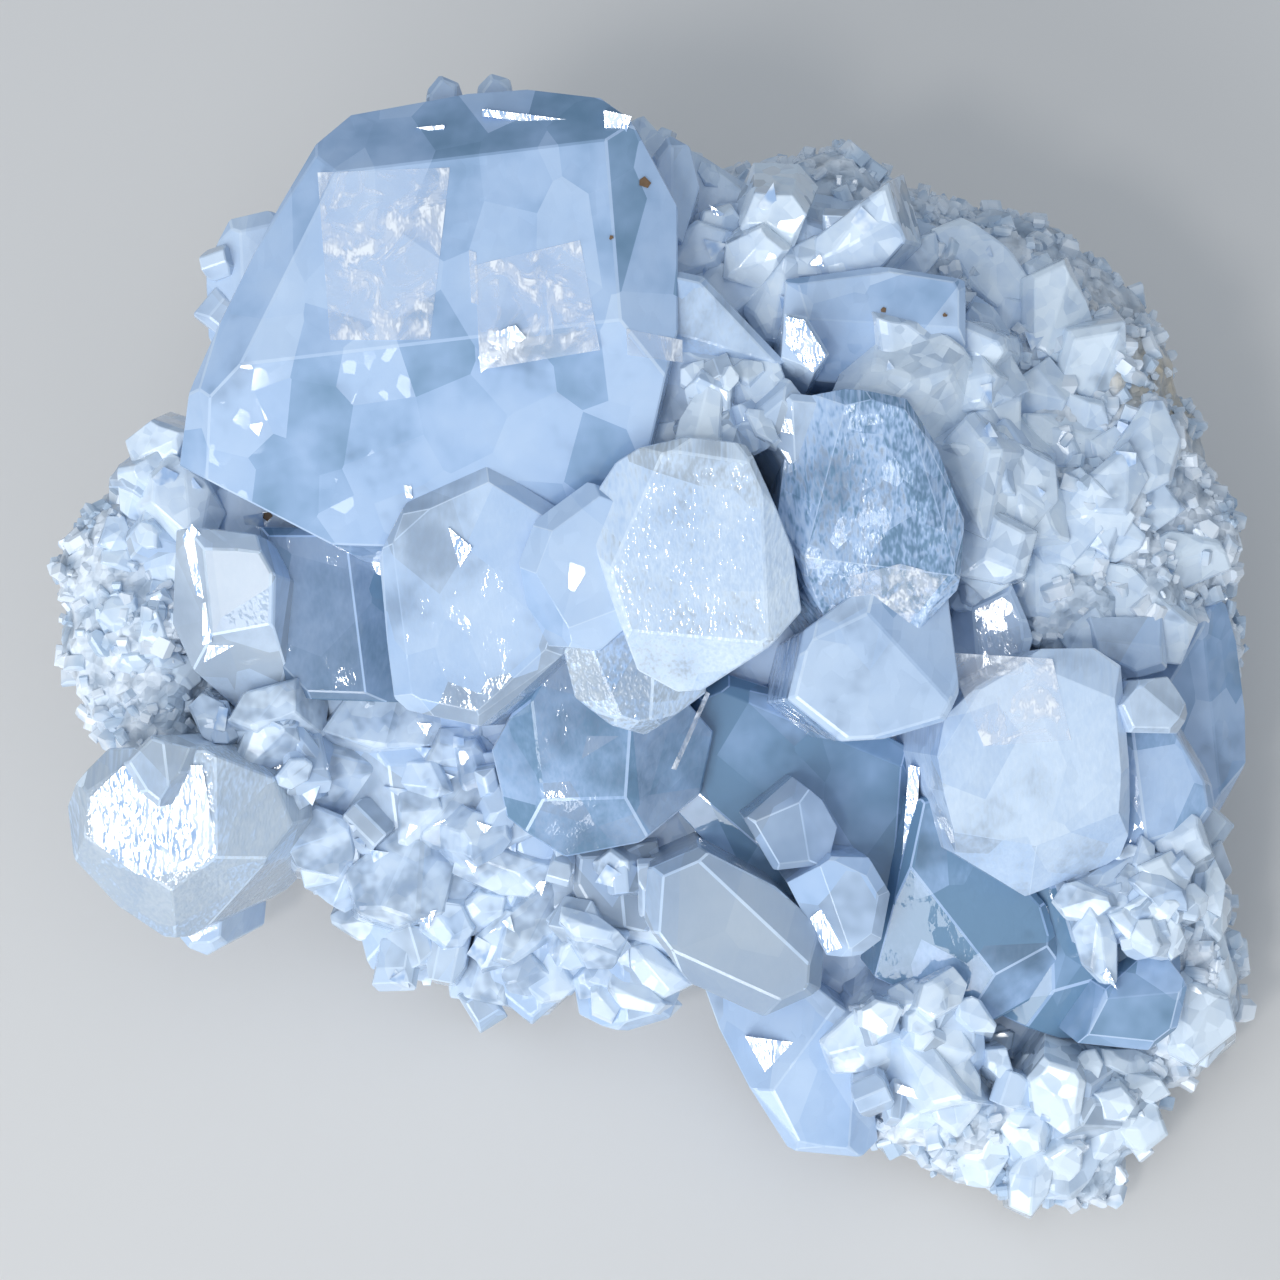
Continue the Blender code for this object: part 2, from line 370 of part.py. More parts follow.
def cut(solid, point, normal, near=CLOSE):
    """Takes away what lies beyond a plane, and closes the cut with one facet."""
    everything = solid.verts[:] + solid.edges[:] + solid.faces[:]
    made = bmesh.ops.bisect_plane(
        solid, geom=everything, dist=near, plane_co=point, plane_no=normal, clear_outer=True)
    edges = [item for item in made["geom_cut"] if isinstance(item, bmesh.types.BMEdge)]
    if len(edges) > 2:
        bmesh.ops.edgeloop_fill(solid, edges=edges)


def large_crystal(spec, chance):
    """A crystal cut from a block: its face, the sides that spread from the root, bevels and facets."""
    outline = spec["outline"]
    count = len(outline)
    middle_u = sum(u for u, v in outline) / count
    middle_v = sum(v for u, v in outline) / count
    face_point = spot(middle_u, middle_v, spec["w"])
    facing = (OUT - RIGHT * spec["rise"][0] - UP * spec["rise"][1]).normalized()
    eye = MIDDLE + OUT * EYE
    root = spot(*ROOT)

    drop = spec.get("drop", DROP)

    def on_face(u, v, under=0.0):
        ray = spot(u, v, 0) - eye
        return eye + ray * (((face_point - eye).dot(facing) - under) / ray.dot(facing))

    def falls_from(start, end):
        outward = facing.cross(end - start).normalized()
        return -outward if outward.dot(face_point - start) > 0 else outward

    solid = bmesh.new()
    bmesh.ops.create_cube(solid, size=BLOCK, matrix=Matrix.Translation(face_point))
    cut(solid, face_point, facing)
    cut(solid, face_point - OUT * spec["depth"], -OUT)
    for number, (u, v) in enumerate(outline):
        next_u, next_v = outline[(number + 1) % count]
        rim = on_face(u, v, drop)
        side = (on_face(next_u, next_v, drop) - rim).cross(root - rim).normalized()
        if side.dot(face_point - rim) > 0:
            side.negate()
        cut(solid, rim, side)
        start = on_face(u, v)
        outward = falls_from(start, on_face(next_u, next_v))
        width = spec["bevel"] * chance.uniform(*BEVEL_SHARE)
        fall = math.radians(chance.uniform(*BEVEL_FALL))
        cut(solid, start - outward * width, facing * math.cos(fall) + outward * math.sin(fall))
    for start, end, fall in spec["facets"]:
        start = on_face(*start)
        outward = falls_from(start, on_face(*end))
        fall = math.radians(fall)
        cut(solid, start, facing * math.cos(fall) + outward * math.sin(fall))
    return solid


def small_crystal(half, forms, chance):
    """A doubly ended crystal with celestite's forms, about 2 mm across."""
    solid = bmesh.new()
    bmesh.ops.create_cube(solid, size=2.0)
    bmesh.ops.scale(solid, vec=half, verts=solid.verts)
    for (h, k, l), share in forms.items():
        for signs in range(8):
            sign = [1 if signs & (1 << axis) else -1 for axis in range(3)]
            if any(index == 0 and part < 0 for index, part in zip((h, k, l), sign)):
                continue
            parts = [way * index / axis for way, index, axis in zip(sign, (h, k, l), AXES)]
            normal = Vector(parts).normalized()
            reach = sum(abs(part) * size for part, size in zip(normal, half))
            cut(solid, normal * reach * share * chance.uniform(*FORM_SPREAD), normal)
    return solid


def hidden_object(name, mesh):
    made = bpy.data.objects.new(name, mesh)
    made.hide_render = True
    made.display_type = "WIRE"
    bpy.context.scene.collection.objects.link(made)
    return made


def helper(name, solid):
    """A hidden object for a Boolean, from a mesh in millimetres."""
    bmesh.ops.recalc_face_normals(solid, faces=solid.faces)
    bmesh.ops.scale(solid, vec=(MM, MM, MM), verts=solid.verts)
    mesh = bpy.data.meshes.new(name)
    solid.to_mesh(mesh)
    solid.free()
    return hidden_object(name, mesh)


def evaluated_mesh(obj):
    graph = bpy.context.evaluated_depsgraph_get()
    return bpy.data.meshes.new_from_object(obj.evaluated_get(graph), depsgraph=graph)


def largest_body(mesh):
    """Keeps the largest body of a mesh, where cutting left crumbs beside it."""
    solid = bmesh.new()
    solid.from_mesh(mesh)
    left = set(solid.verts)
    bodies = []
    while left:
        reached = {left.pop()}
        edge = list(reached)
        while edge:
            for link in edge.pop().link_edges:
                for vertex in link.verts:
                    if vertex not in reached:
                        reached.add(vertex)
                        edge.append(vertex)
        left -= reached
        bodies.append(reached)
    bodies.sort(key=len)
    for body in bodies[:-1]:
        bmesh.ops.delete(solid, geom=list(body), context="VERTS")
    solid.to_mesh(mesh)
    solid.free()


def matrix_mesh():
    """The matrix: lumps fused into one rough crust with a flat spot below."""
    noise.seed_set(SEED)
    rock = bmesh.new()
    lie = Matrix((RIGHT, UP, OUT)).transposed().to_4x4()
    for body in BODY:
        place = Matrix.Translation(spot(*body["at"])) @ lie @ Matrix.Diagonal((*body["half"], 1))
        bmesh.ops.create_icosphere(rock, subdivisions=BLOCK_ROUNDNESS, radius=1.0, matrix=place)
    place = Matrix.Translation(FOOT["at"]) @ Matrix.Diagonal((*FOOT["half"], 1))
    bmesh.ops.create_icosphere(rock, subdivisions=BLOCK_ROUNDNESS, radius=1.0, matrix=place)
    for u, v, w, radius in LUMPS:
        place = Matrix.Translation(spot(u, v, w))
        bmesh.ops.create_icosphere(rock, subdivisions=LUMP_ROUNDNESS, radius=radius, matrix=place)
    for vertex in rock.verts:
        smooth = vertex.co.copy()
        for height, length in MATRIX_ROUGHNESS:
            vertex.co += height * noise.noise_vector(smooth / length)
    lumps = helper("matrix lumps", rock)
    fuse = lumps.modifiers.new("fuse", "REMESH")
    fuse.mode = "VOXEL"
    fuse.voxel_size = VOXEL * MM
    smooth = evaluated_mesh(lumps)
    smooth.calc_loop_triangles()
    fused = hidden_object("fused lumps", smooth)
    thin = fused.modifiers.new("facets", "DECIMATE")
    thin.ratio = MATRIX_FACES / len(smooth.loop_triangles)
    mesh = evaluated_mesh(fused)
    solid = bmesh.new()
    solid.from_mesh(mesh)
    cut(solid, (0, 0, 0), (0, 0, -1), near=CLOSE * MM)
    bmesh.ops.triangulate(solid, faces=solid.faces)
    solid.to_mesh(mesh)
    solid.free()
    largest_body(mesh)
    return mesh


def fattened(mesh):
    """A cutter that stands off the matrix by the gap."""
    solid = bmesh.new()
    solid.from_mesh(mesh)
    solid.normal_update()
    moves = [vertex.normal * GAP for vertex in solid.verts]
    for vertex, move in zip(solid.verts, moves):
        vertex.co = vertex.co / MM + move
    return helper("matrix clearance", solid)


def grown_crystals():
    """Every crystal as a hidden object, in the collection that the union joins."""
    chance = random.Random(SEED)
    made = [helper(name, large_crystal(spec, chance)) for name, spec in CRYSTALS.items()]
    for bank in BANKS:
        for number in range(bank["count"]):
            habit = chance.choice(HABITS)
            solid = small_crystal(habit["half"], habit["forms"], chance)
            off_u = chance.uniform(-1, 1) * bank["reach"][0]
            off_v = chance.uniform(-1, 1) * bank["reach"][1]
            rise = bank["tilt"][0] * off_u + bank["tilt"][1] * off_v
            u, v, w = bank["at"]
            turn = Matrix.Rotation(chance.uniform(0, math.tau), 4, OUT)
            angle = chance.uniform(*LEAN)
            lean = Matrix.Rotation(angle, 4, Vector((chance.gauss(0, 1), chance.gauss(0, 1), 0.1)))
            size = Matrix.Scale(chance.uniform(*bank["size"]), 4)
            place = Matrix.Translation(spot(u + off_u, v + off_v, w + rise))
            bmesh.ops.transform(solid, matrix=place @ turn @ lean @ size, verts=solid.verts)
            made.append(helper(f"small {number}", solid))
    return made


def crystals_mesh(matrix_cutter):
    """The crystals joined on their base, cut back where the matrix is."""
    base = helper("base", large_crystal(BASE, random.Random(SEED)))
    group = bpy.data.collections.new("grown together")
    bpy.context.scene.collection.children.link(group)
    for crystal in grown_crystals():
        bpy.context.scene.collection.objects.unlink(crystal)
        group.objects.link(crystal)
    join = base.modifiers.new("grown together", "BOOLEAN")
    join.operation = "UNION"
    join.operand_type = "COLLECTION"
    join.collection = group
    clear = base.modifiers.new("clear of matrix", "BOOLEAN")
    clear.operation = "DIFFERENCE"
    clear.object = matrix_cutter
    mesh = evaluated_mesh(base)
    solid = bmesh.new()
    solid.from_mesh(mesh)
    cut(solid, (0, 0, LOWEST_CRYSTAL * MM), (0, 0, -1), near=CLOSE * MM)
    bmesh.ops.triangulate(solid, faces=solid.faces)
    bmesh.ops.remove_doubles(solid, verts=solid.verts, dist=MERGE * MM)
    solid.to_mesh(mesh)
    solid.free()
    largest_body(mesh)
    return mesh


def centre(meshes):
    """Sets the object over the origin, so that its footprint's middle is at 0, 0."""
    points = [vertex.co for mesh in meshes for vertex in mesh.vertices]
    shift = Vector((0, 0, -min(p.z for p in points)))
    for axis in range(2):
        shift[axis] = -(min(p[axis] for p in points) + max(p[axis] for p in points)) / 2
    for mesh in meshes:
        mesh.transform(Matrix.Translation(shift))
    print("moved by", [round(part / MM, 3) for part in shift], "mm")


def main():
    clear_scene()
    matrix = matrix_mesh()
    crystals = crystals_mesh(fattened(matrix))
    centre((matrix, crystals))
    for name, mesh in (("matrix", matrix), ("crystals", crystals)):
        mesh.materials.clear()
        mesh.materials.append(material(*FINISHES[name]))
        node = bpy.data.objects.new(name, mesh)
        bpy.context.scene.collection.objects.link(node)
        mesh.calc_loop_triangles()
        print(name, len(mesh.loop_triangles), "triangles")


main()
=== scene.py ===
import math
import random

import bpy
from mathutils import Matrix, Vector, noise
from mathutils.bvhtree import BVHTree


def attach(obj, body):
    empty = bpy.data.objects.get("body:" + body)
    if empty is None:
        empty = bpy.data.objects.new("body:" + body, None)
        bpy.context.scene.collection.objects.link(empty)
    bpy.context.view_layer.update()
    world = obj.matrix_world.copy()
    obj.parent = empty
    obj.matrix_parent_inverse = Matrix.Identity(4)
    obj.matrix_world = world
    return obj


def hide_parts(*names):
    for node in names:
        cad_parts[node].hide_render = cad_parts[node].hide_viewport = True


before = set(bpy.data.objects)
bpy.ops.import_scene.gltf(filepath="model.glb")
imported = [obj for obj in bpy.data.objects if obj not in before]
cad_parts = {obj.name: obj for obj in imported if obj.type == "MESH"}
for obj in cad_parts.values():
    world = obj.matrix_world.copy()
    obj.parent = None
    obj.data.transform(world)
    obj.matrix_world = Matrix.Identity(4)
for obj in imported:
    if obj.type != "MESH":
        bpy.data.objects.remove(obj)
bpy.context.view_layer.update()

# Lengths below are millimetres. A place on the crystals' slope is u to the right, v up the
# slope and w out of it, as it looks from an eye in front of the slope.
mm = 0.001
slope = dict(
    faces=62.0,  # degrees above level that the slope faces
    height=28.0,
    moved=(-1.177, -1.94),  # where its middle is, in x and y
    eye=286.0,  # distance of the eye
    root=(2.0, -6.0, -75.0),  # u, v, w that the large crystals spread from
    seed=38)

tilt = math.radians(slope["faces"])
right = Vector((1, 0, 0))
up = Vector((0, math.sin(tilt), math.cos(tilt)))
out = Vector((0, -math.cos(tilt), math.sin(tilt)))
middle = Vector((*slope["moved"], slope["height"]))
eye = middle + out * slope["eye"]


def spot(u, v, w):
    nearer = 1 - w / slope["eye"]
    return middle + right * u * nearer + up * v * nearer + out * w


def onSlope(u, v, w):
    return middle + right * u + up * v + out * w


# Modelling

def deselectAll():
    if bpy.context.object and bpy.context.object.mode != "OBJECT":
        bpy.ops.object.mode_set(mode="OBJECT")
    bpy.ops.object.select_all(action="DESELECT")


def openForEditing(piece):
    deselectAll()
    piece.select_set(True)
    bpy.context.view_layer.objects.active = piece
    bpy.ops.object.mode_set(mode="EDIT")
    bpy.ops.mesh.select_all(action="SELECT")


def closeEditing():
    bpy.ops.object.mode_set(mode="OBJECT")


def cutAway(point, normal):
    bpy.ops.mesh.select_all(action="SELECT")
    bpy.ops.mesh.bisect(
        plane_co=point, plane_no=normal, use_fill=True, clear_outer=True, threshold=modelling["close"])


def applyModifier(piece, kind, **settings):
    deselectAll()
    piece.select_set(True)
    bpy.context.view_layer.objects.active = piece
    modifier = piece.modifiers.new(kind.lower(), kind)
    for name, value in settings.items():
        setattr(modifier, name, value)
    bpy.ops.object.modifier_apply(modifier=modifier.name)


def toMetres(piece):
    piece.data.transform(Matrix.Scale(mm, 4))


modelling = dict(
    block=130.0,  # the block that a crystal is cut from
    close=1e-4,  # how near a point counts as on a cutting plane
    drop=0.8,  # how far under its face an outline is widest
    bevelShare=(0.4, 1.5),  # least and most of the table's bevel
    bevelFall=(32, 58),  # degrees
    formSpread=(0.94, 1.04),  # how much a small crystal's facets stray
    lean=(0.2, 1.2),  # radians that a small crystal leans
    lowest=2.2,  # the lowest crystal tip
    axes=(8.36, 5.35, 6.87),  # celestite's cell, which sets its facets' angles
    closest=0.002,  # points nearer than this are merged where crystals join
    lookSeed=5,
    nicks=(1, 4),  # corner facets on a large crystal
    nickWidth=(0.9, 2.4),  # times the bevel
    nickFall=(28, 56),  # degrees
    wornEdge=0.13,  # width of the chamfer on every edge
    smallWornEdge=0.05)

largeCrystals = {
    "broad": dict(
        outline=[(-23.3, 42.3), (-14, 44.4), (-9.1, 44.6), (-3.1, 43), (-0.9, 40.4), (3, 34), (3, 24),
                 (0, 12), (-10, 6.5), (-22.5, 6.5), (-25, 7.8), (-33.6, 8), (-38, 12.5), (-35, 20.2),
                 (-28.2, 34)],
        w=12, rise=(0.02, -0.10), bevel=0.5, depth=29, drop=3.6,
        facets=[((-25.4, 37.3), (-3, 40), 36), ((-34.2, 21.8), (-12, 24.4), 17),
                ((-2.8, 41), (-1.6, 26), 24), ((-37, 10.5), (-33, 9), 40),
                ((-34.5, 17), (-37.5, 11), 30)]),
    "clear left": dict(
        outline=[(-37.4, 8.9), (-33.6, 8.8), (-30.5, 8.4), (-28.6, 5), (-28.8, -3), (-30.3, -5.2),
                 (-33.8, -5.4), (-35.6, -2.8), (-38.3, 1.5)],
        w=4.5, rise=(0.16, 0.18), bevel=1.1, depth=22, drop=1.4,
        facets=[((-35, 8), (-34.2, 0), 34), ((-34.4, 0.4), (-29, 1.4), 30)]),
    "dark pane": dict(
        outline=[(-30.5, 9), (-19.5, 9), (-19, -5), (-27.8, -4.7), (-29.3, -3)],
        w=2.5, rise=(0.05, 0.02), bevel=0.5, depth=18, facets=[((-23.5, 8), (-22, -4), 16)]),
    "middle left": dict(
        outline=[(-20.9, 6.5), (-20.3, 0), (-19.7, -4.7), (-18.8, -5.6), (-12.7, -6.9), (-9.6, -4.3),
                 (-5.6, -0.7), (-5.6, 10), (-12, 14), (-18.6, 11)],
        w=10.5, rise=(0.03, 0.05), bevel=0.95, depth=24, drop=1.1,
        facets=[((-19.6, 8), (-14, 13), 20)]),
    "round": dict(
        outline=[(-8.3, 9.6), (-9.6, 6.2), (-9.2, 2.7), (-7.5, -0.4), (-3.2, -0.9), (0.8, 2.6),
                 (1.6, 7), (0, 11), (-4.2, 12.6)],
        w=13, rise=(0.05, 0.02), bevel=1.3, depth=25, drop=1.4,
        facets=[((-8.2, 3.2), (-6, 0.4), 38), ((-5.6, 1), (0.2, 3.2), 20)]),
    "pale middle": dict(
        outline=[(-4.5, 10.4), (-1.9, 14.2), (0, 15.2), (3.4, 16), (10.2, 15.3), (11.2, 13.8),
                 (12.2, 7.2), (13.9, 3.4), (13.1, 1.2), (10.3, -0.6), (7.4, -3.8), (3, -4.1),
                 (-0.2, -2.4), (-2.2, 3)],
        w=14, rise=(0.02, 0.05), bevel=0.6, depth=26, drop=1.6,
        facets=[((-0.4, 10), (2, 15.4), 24), ((10, 5), (10.2, 0.4), 30), ((-1.2, 0.8), (9.5, -0.2), 33),
                ((4, 14.9), (10.5, 13.9), 26)]),
    "small striped": dict(
        outline=[(-6.2, -0.3), (-5.2, -4.6), (-2.3, -6.8), (0.4, -7.6), (2.3, -6.4), (5.3, -4.2),
                 (5.4, 0), (0, 2), (-4.6, 1.6)],
        w=10.6, rise=(-0.05, 0.2), bevel=0.6, depth=18, drop=1.6,
        facets=[((-4, -0.5), (-1.4, -6.4), 28), ((1.2, -0.5), (0.8, -7), 26)]),
    "grey middle": dict(
        outline=[(-12, -8.8), (-9.5, -4.6), (-6, -0.6), (3, -4), (6, -7.4), (4.9, -12.5), (0, -16.2),
                 (-6, -17.4), (-10.7, -14.2)],
        w=4.4, rise=(0.02, 0.08), bevel=0.7, depth=16, drop=1.2,
        facets=[((-8.4, -7), (-7.4, -16), 24), ((-0.8, -7), (-1.4, -16), 26),
                ((-8, -12.8), (-1, -12.6), 16)]),
    "cleaved": dict(
        outline=[(11, 10), (12.1, 19.2), (16.3, 20), (21.3, 19.2), (23.4, 16), (25.8, 9.6), (25.4, 4),
                 (21, -0.6), (15.8, 0), (13.2, 4.4)],
        w=11.5, rise=(0.05, -0.03), bevel=0.7, depth=24, drop=1.2,
        facets=[((14.4, 11), (16.4, 18.6), 20), ((17.2, 6.2), (24.8, 5.2), 14),
                ((22.4, 15), (24.4, 8.6), 24)]),
    "smooth lower": dict(
        outline=[(11.7, -4.8), (13.1, 0.8), (17.7, 4.2), (25, 5.6), (25.4, -4.2), (24.2, -6.5),
                 (19.4, -7.9), (15.9, -8.1)],
        w=12, rise=(-0.03, -0.05), bevel=0.45, depth=23, drop=1.2,
        facets=[((20.2, 0), (24.8, -5), 22), ((13.4, -0.2), (18, 2), 24)]),
    "deep pane": dict(
        outline=[(4.6, -3), (8.8, -1.8), (15.9, -5.6), (21.4, -7.4), (21.5, -10.3), (20.8, -20),
                 (19.6, -27.4), (15, -26.6), (7, -18), (1.6, -15)],
        w=0.5, rise=(0.03, -0.02), bevel=0.6, depth=15,
        facets=[((5, -4), (3, -11), 30), ((8.6, -5), (15.8, -8), 22), ((5.5, -13), (19, -24.5), 14)]),
    "perched one": dict(
        outline=[(8.3, -14.3), (12.4, -11), (14.7, -12.9), (16, -15.1), (15.1, -17.9), (10.7, -18.4)],
        w=5.6, rise=(0.05, -0.1), bevel=0.4, depth=14,
        facets=[((8.8, -14.7), (13, -12.9), 40), ((12.7, -12.6), (13.6, -18), 32)]),
    "perched two": dict(
        outline=[(11.9, -19.6), (15.2, -17.2), (18.3, -17.4), (20, -20.3), (19.3, -24), (17.7, -25.2),
                 (15, -25.3), (13.4, -22.5)],
        w=6.6, rise=(0.03, 0.05), bevel=0.6, depth=15, facets=[((14.6, -18.6), (16.8, -24.8), 30)]),
    "blue flat": dict(
        outline=[(20.8, -18.4), (22, -12.8), (24.2, -12), (26, -14), (31.5, -18), (33.4, -24.5),
                 (33.1, -28.4), (28.8, -30.8), (26.7, -30.8), (19.1, -27.4)],
        w=3.6, rise=(-0.04, 0.02), bevel=0.6, depth=18,
        facets=[((22, -18.6), (28.8, -27.3), 15), ((28, -27), (32.4, -24.6), 26)]),
    "tabular": dict(
        outline=[(23.2, -9.2), (24, -6.1), (26.3, -3.8), (31.5, -0.8), (36, -0.7), (39.4, -3.1),
                 (39.4, -7), (39, -13.5), (39.3, -17), (37.8, -18.1), (31.2, -20.7), (25, -17),
                 (23.7, -12)],
        w=8, rise=(-0.05, 0.03), bevel=0.45, depth=20, drop=1.8,
        facets=[((25.3, -15.4), (31.9, -16.5), 32), ((31.9, -16.4), (37.9, -14), 34),
                ((33, -2.6), (38.8, -5), 20), ((23.8, -9.6), (26.4, -5.4), 26)]),
    "tabular tip": dict(
        outline=[(38.1, -5.3), (39.8, -3.2), (42.3, -2.9), (44.2, -5.9), (43.4, -7.5), (39, -7.4)],
        w=7.8, rise=(-0.12, 0.05), bevel=0.5, depth=14, facets=[((40, -3.6), (43.6, -6.6), 24)]),
    "tabular side": dict(
        outline=[(38.4, -6), (43.6, -6.6), (45.8, -10.3), (46.2, -13), (44, -16.2), (39.4, -17.6),
                 (37.2, -14.4)],
        w=3.8, rise=(-0.22, 0.02), bevel=0.9, depth=14, facets=[((39.4, -7), (40.6, -16.6), 24)]),
    "right rim": dict(
        outline=[(41.6, 2.2), (45.5, 3.7), (47.3, 3), (48.4, 0), (49.2, -5.7), (49.1, -9.8),
                 (46.7, -14.6), (45.2, -17.2), (41.4, -12), (40.6, -2)],
        w=-4.5, rise=(-0.22, 0.02), bevel=1.2, depth=7, facets=[((45, 2), (46.4, -12), 26)]),
    "right wedge": dict(
        outline=[(35.8, 1.8), (42, 1.9), (42.4, -2.4), (40, -3), (36.3, -1.2)],
        w=2.4, rise=(-0.1, 0.1), bevel=0.4, depth=10, facets=[((37, 0), (42, -0.6), 18)]),
    "blue pocket": dict(
        outline=[(25.2, 2.6), (29.5, 4.6), (31.4, 0.2), (30.6, -2.6), (25.6, -4.6), (24.2, -1.1)],
        w=2.2, rise=(0.2, 0.1), bevel=0.5, depth=14, facets=[((26.6, 3), (27.2, -3.8), 26)]),
    "upper facet": dict(
        outline=[(-2, 25.3), (0.4, 30.1), (5, 29.1), (11.6, 22.2), (9.4, 20.6), (0.3, 23.6)],
        w=9.4, rise=(-0.1, 0.1), bevel=0.4, depth=22, facets=[((0.3, 25.3), (11, 22.2), 34)]),
    "upper smooth": dict(
        outline=[(11.6, 28.8), (19, 29.8), (26, 28.7), (26, 23.4), (21, 20.5), (11.2, 21.5)],
        w=6, rise=(-0.02, -0.12), bevel=0.4, depth=20,
        facets=[((11.8, 25.8), (25.4, 25), 22), ((12.8, 28), (14.6, 22), 18)]),
    "upper rough": dict(
        outline=[(2.1, 33.2), (6.2, 35.4), (10, 35.1), (16.6, 33.1), (21.4, 30), (20, 26), (10, 25),
                 (2.4, 27.6)],
        w=3, rise=(0, -0.12), bevel=0.9, depth=17,
        facets=[((3, 31), (10, 33.4), 24), ((12, 33), (20, 28.8), 22)]),
    "sparkle bank": dict(
        outline=[(-0.4, 24), (11.4, 22.2), (11.2, 19.8), (9.8, 17.4), (8.6, 15.4), (2.2, 15.6),
                 (-0.6, 19)],
        w=8.8, rise=(0.02, 0.0), bevel=0.8, depth=20,
        facets=[((4.6, 23), (6, 16), 18), ((9, 22), (8.4, 16.4), 24)]),
    "bright chip": dict(
        outline=[(11.5, 26.1), (13.3, 25.8), (15.1, 22.8), (13.8, 21), (11.3, 22.6)],
        w=9.4, rise=(0.1, 0.1), bevel=0.3, depth=14, facets=[((12.6, 26), (12.9, 21.8), 26)]),
    "upper right rough": dict(
        outline=[(14.4, 22.4), (20, 25.2), (26, 25.2), (28.6, 22), (28.5, 18.4), (23, 17), (15, 18.6)],
        w=4.4, rise=(-0.05, -0.02), bevel=0.8, depth=17, facets=[((20.6, 24.6), (22, 18), 18)]),
    "striped chip": dict(
        outline=[(9.9, 17.4), (12.1, 19.6), (15.1, 19.3), (14, 14.4), (12, 13.6)],
        w=10.4, rise=(-0.25, 0.1), bevel=0.35, depth=16, facets=[((12.2, 19), (12.4, 14.4), 26)]),
    "pale right": dict(
        outline=[(25, 9.6), (24.2, 14), (26.6, 18.9), (30.8, 18.6), (31.2, 12), (30, 5), (27, 2.8),
                 (24.8, 3.6)],
        w=5, rise=(-0.1, 0.02), bevel=0.8, depth=18, facets=[((27.6, 17), (28.4, 4.6), 22)]),
    "long clear": dict(
        outline=[(0.6, -18.4), (4.8, -16.6), (10.9, -19.8), (15, -23.5), (14.7, -28.2), (10, -30.3),
                 (4, -27.6), (0.3, -22.6)],
        w=6, rise=(0.02, 0.06), bevel=0.9, depth=18,
        facets=[((4.4, -17.4), (14, -26.4), 22), ((3.4, -25.2), (10.4, -28.4), 30)]),
    "round clear": dict(
        outline=[(-5, -16.6), (1.4, -16.2), (1.9, -20), (0.7, -23.4), (-3.6, -23.2), (-5.4, -20)],
        w=0.8, rise=(0, 0.05), bevel=0.8, depth=14, facets=[((-1.8, -16.6), (-1.2, -23), 22)]),
    "lower front": dict(
        outline=[(3.8, -27.6), (6.5, -32), (8.4, -36.7), (11.2, -40.6), (17.6, -41.2), (20.4, -40),
                 (18.4, -34), (17.9, -30.2), (14, -27.6), (8, -26.4)],
        w=1.6, rise=(0, 0.05), bevel=0.6, depth=9, drop=1.4,
        facets=[((8.6, -31.8), (10.8, -36.2), 26), ((10.7, -36), (13.8, -31.8), 30)]),
    "sparkle front": dict(
        outline=[(17.5, -29.5), (22, -27.2), (27.4, -29.4), (27.8, -34), (25.2, -37.2), (20, -37.6),
                 (17.6, -34)],
        w=3.6, rise=(0, 0.03), bevel=0.8, depth=15,
        facets=[((18.4, -33.4), (26, -34.6), 26), ((21.8, -28), (22.8, -36.4), 20)]),
    "blue right": dict(
        outline=[(28.6, -19), (36, -18.2), (43, -21.8), (43.4, -26), (42.8, -30.8), (40, -32.6),
                 (34, -32.2), (29.3, -30.4)],
        w=2.4, rise=(-0.02, 0.05), bevel=0.6, depth=16,
        facets=[((32.8, -19), (33.2, -31), 22), ((33.4, -28), (42, -25.6), 20)]),
    "blue right low": dict(
        outline=[(33.2, -30.2), (37, -27.8), (38.4, -24.8), (42, -24.3), (43.6, -27.5), (42.7, -31.2),
                 (40.6, -32.8), (34.8, -32.2)],
        w=4.8, rise=(-0.02, 0.04), bevel=0.5, depth=14, facets=[((34, -29), (42.8, -28.2), 28)]),
    "sparkle right": dict(
        outline=[(34.3, -19.6), (39, -17.2), (43.2, -17.2), (44.6, -19), (42.7, -23), (36, -25)],
        w=5.8, rise=(-0.05, 0), bevel=0.7, depth=14, facets=[((36, -19.4), (43.6, -20.6), 22)]),
    "corner": dict(
        outline=[(28.8, -37.4), (33, -34.6), (37.4, -36.4), (38.3, -41), (35, -44.9), (31, -44.7),
                 (29, -41)],
        w=1.6, rise=(0, 0.06), bevel=0.7, depth=9, facets=[((33.4, -35), (34.2, -44.4), 26)]),
    "frosted right": dict(
        outline=[(42, -20), (45, -19.2), (46.9, -23), (48.4, -28), (47.7, -32.2), (45.8, -34.5),
                 (41.4, -33)],
        w=-0.4, rise=(-0.1, 0.04), bevel=0.9, depth=12, facets=[((44, -20), (44.8, -33.4), 26)]),
    "mirror": dict(
        outline=[(-45.9, -13.3), (-45.1, -17), (-42.1, -21.4), (-38.5, -23.9), (-36.4, -23.9),
                 (-34.9, -23), (-30, -18), (-28, -14.8), (-29.2, -11), (-33.9, -8.4), (-41.8, -8.6)],
        w=5, rise=(0.02, 0.02), bevel=0.35, depth=14, drop=2.4,
        facets=[((-34, -9), (-33.9, -17.5), 26), ((-44.3, -15.8), (-37.5, -20), 36),
                ((-37.5, -20), (-33.9, -17.4), 38), ((-44.4, -15.4), (-44.2, -12), 40),
                ((-43.4, -11.6), (-40.8, -9.8), 34)]),
    "mirror notch": dict(
        outline=[(-41.2, -9.8), (-39, -7.6), (-36, -8.6), (-36.6, -10.6), (-38.3, -13.4), (-39.6, -12.4)],
        w=7, rise=(0.02, -0.12), bevel=0.3, depth=14, facets=[((-38.2, -7.8), (-37.6, -12.8), 22)]),
    "under mirror": dict(
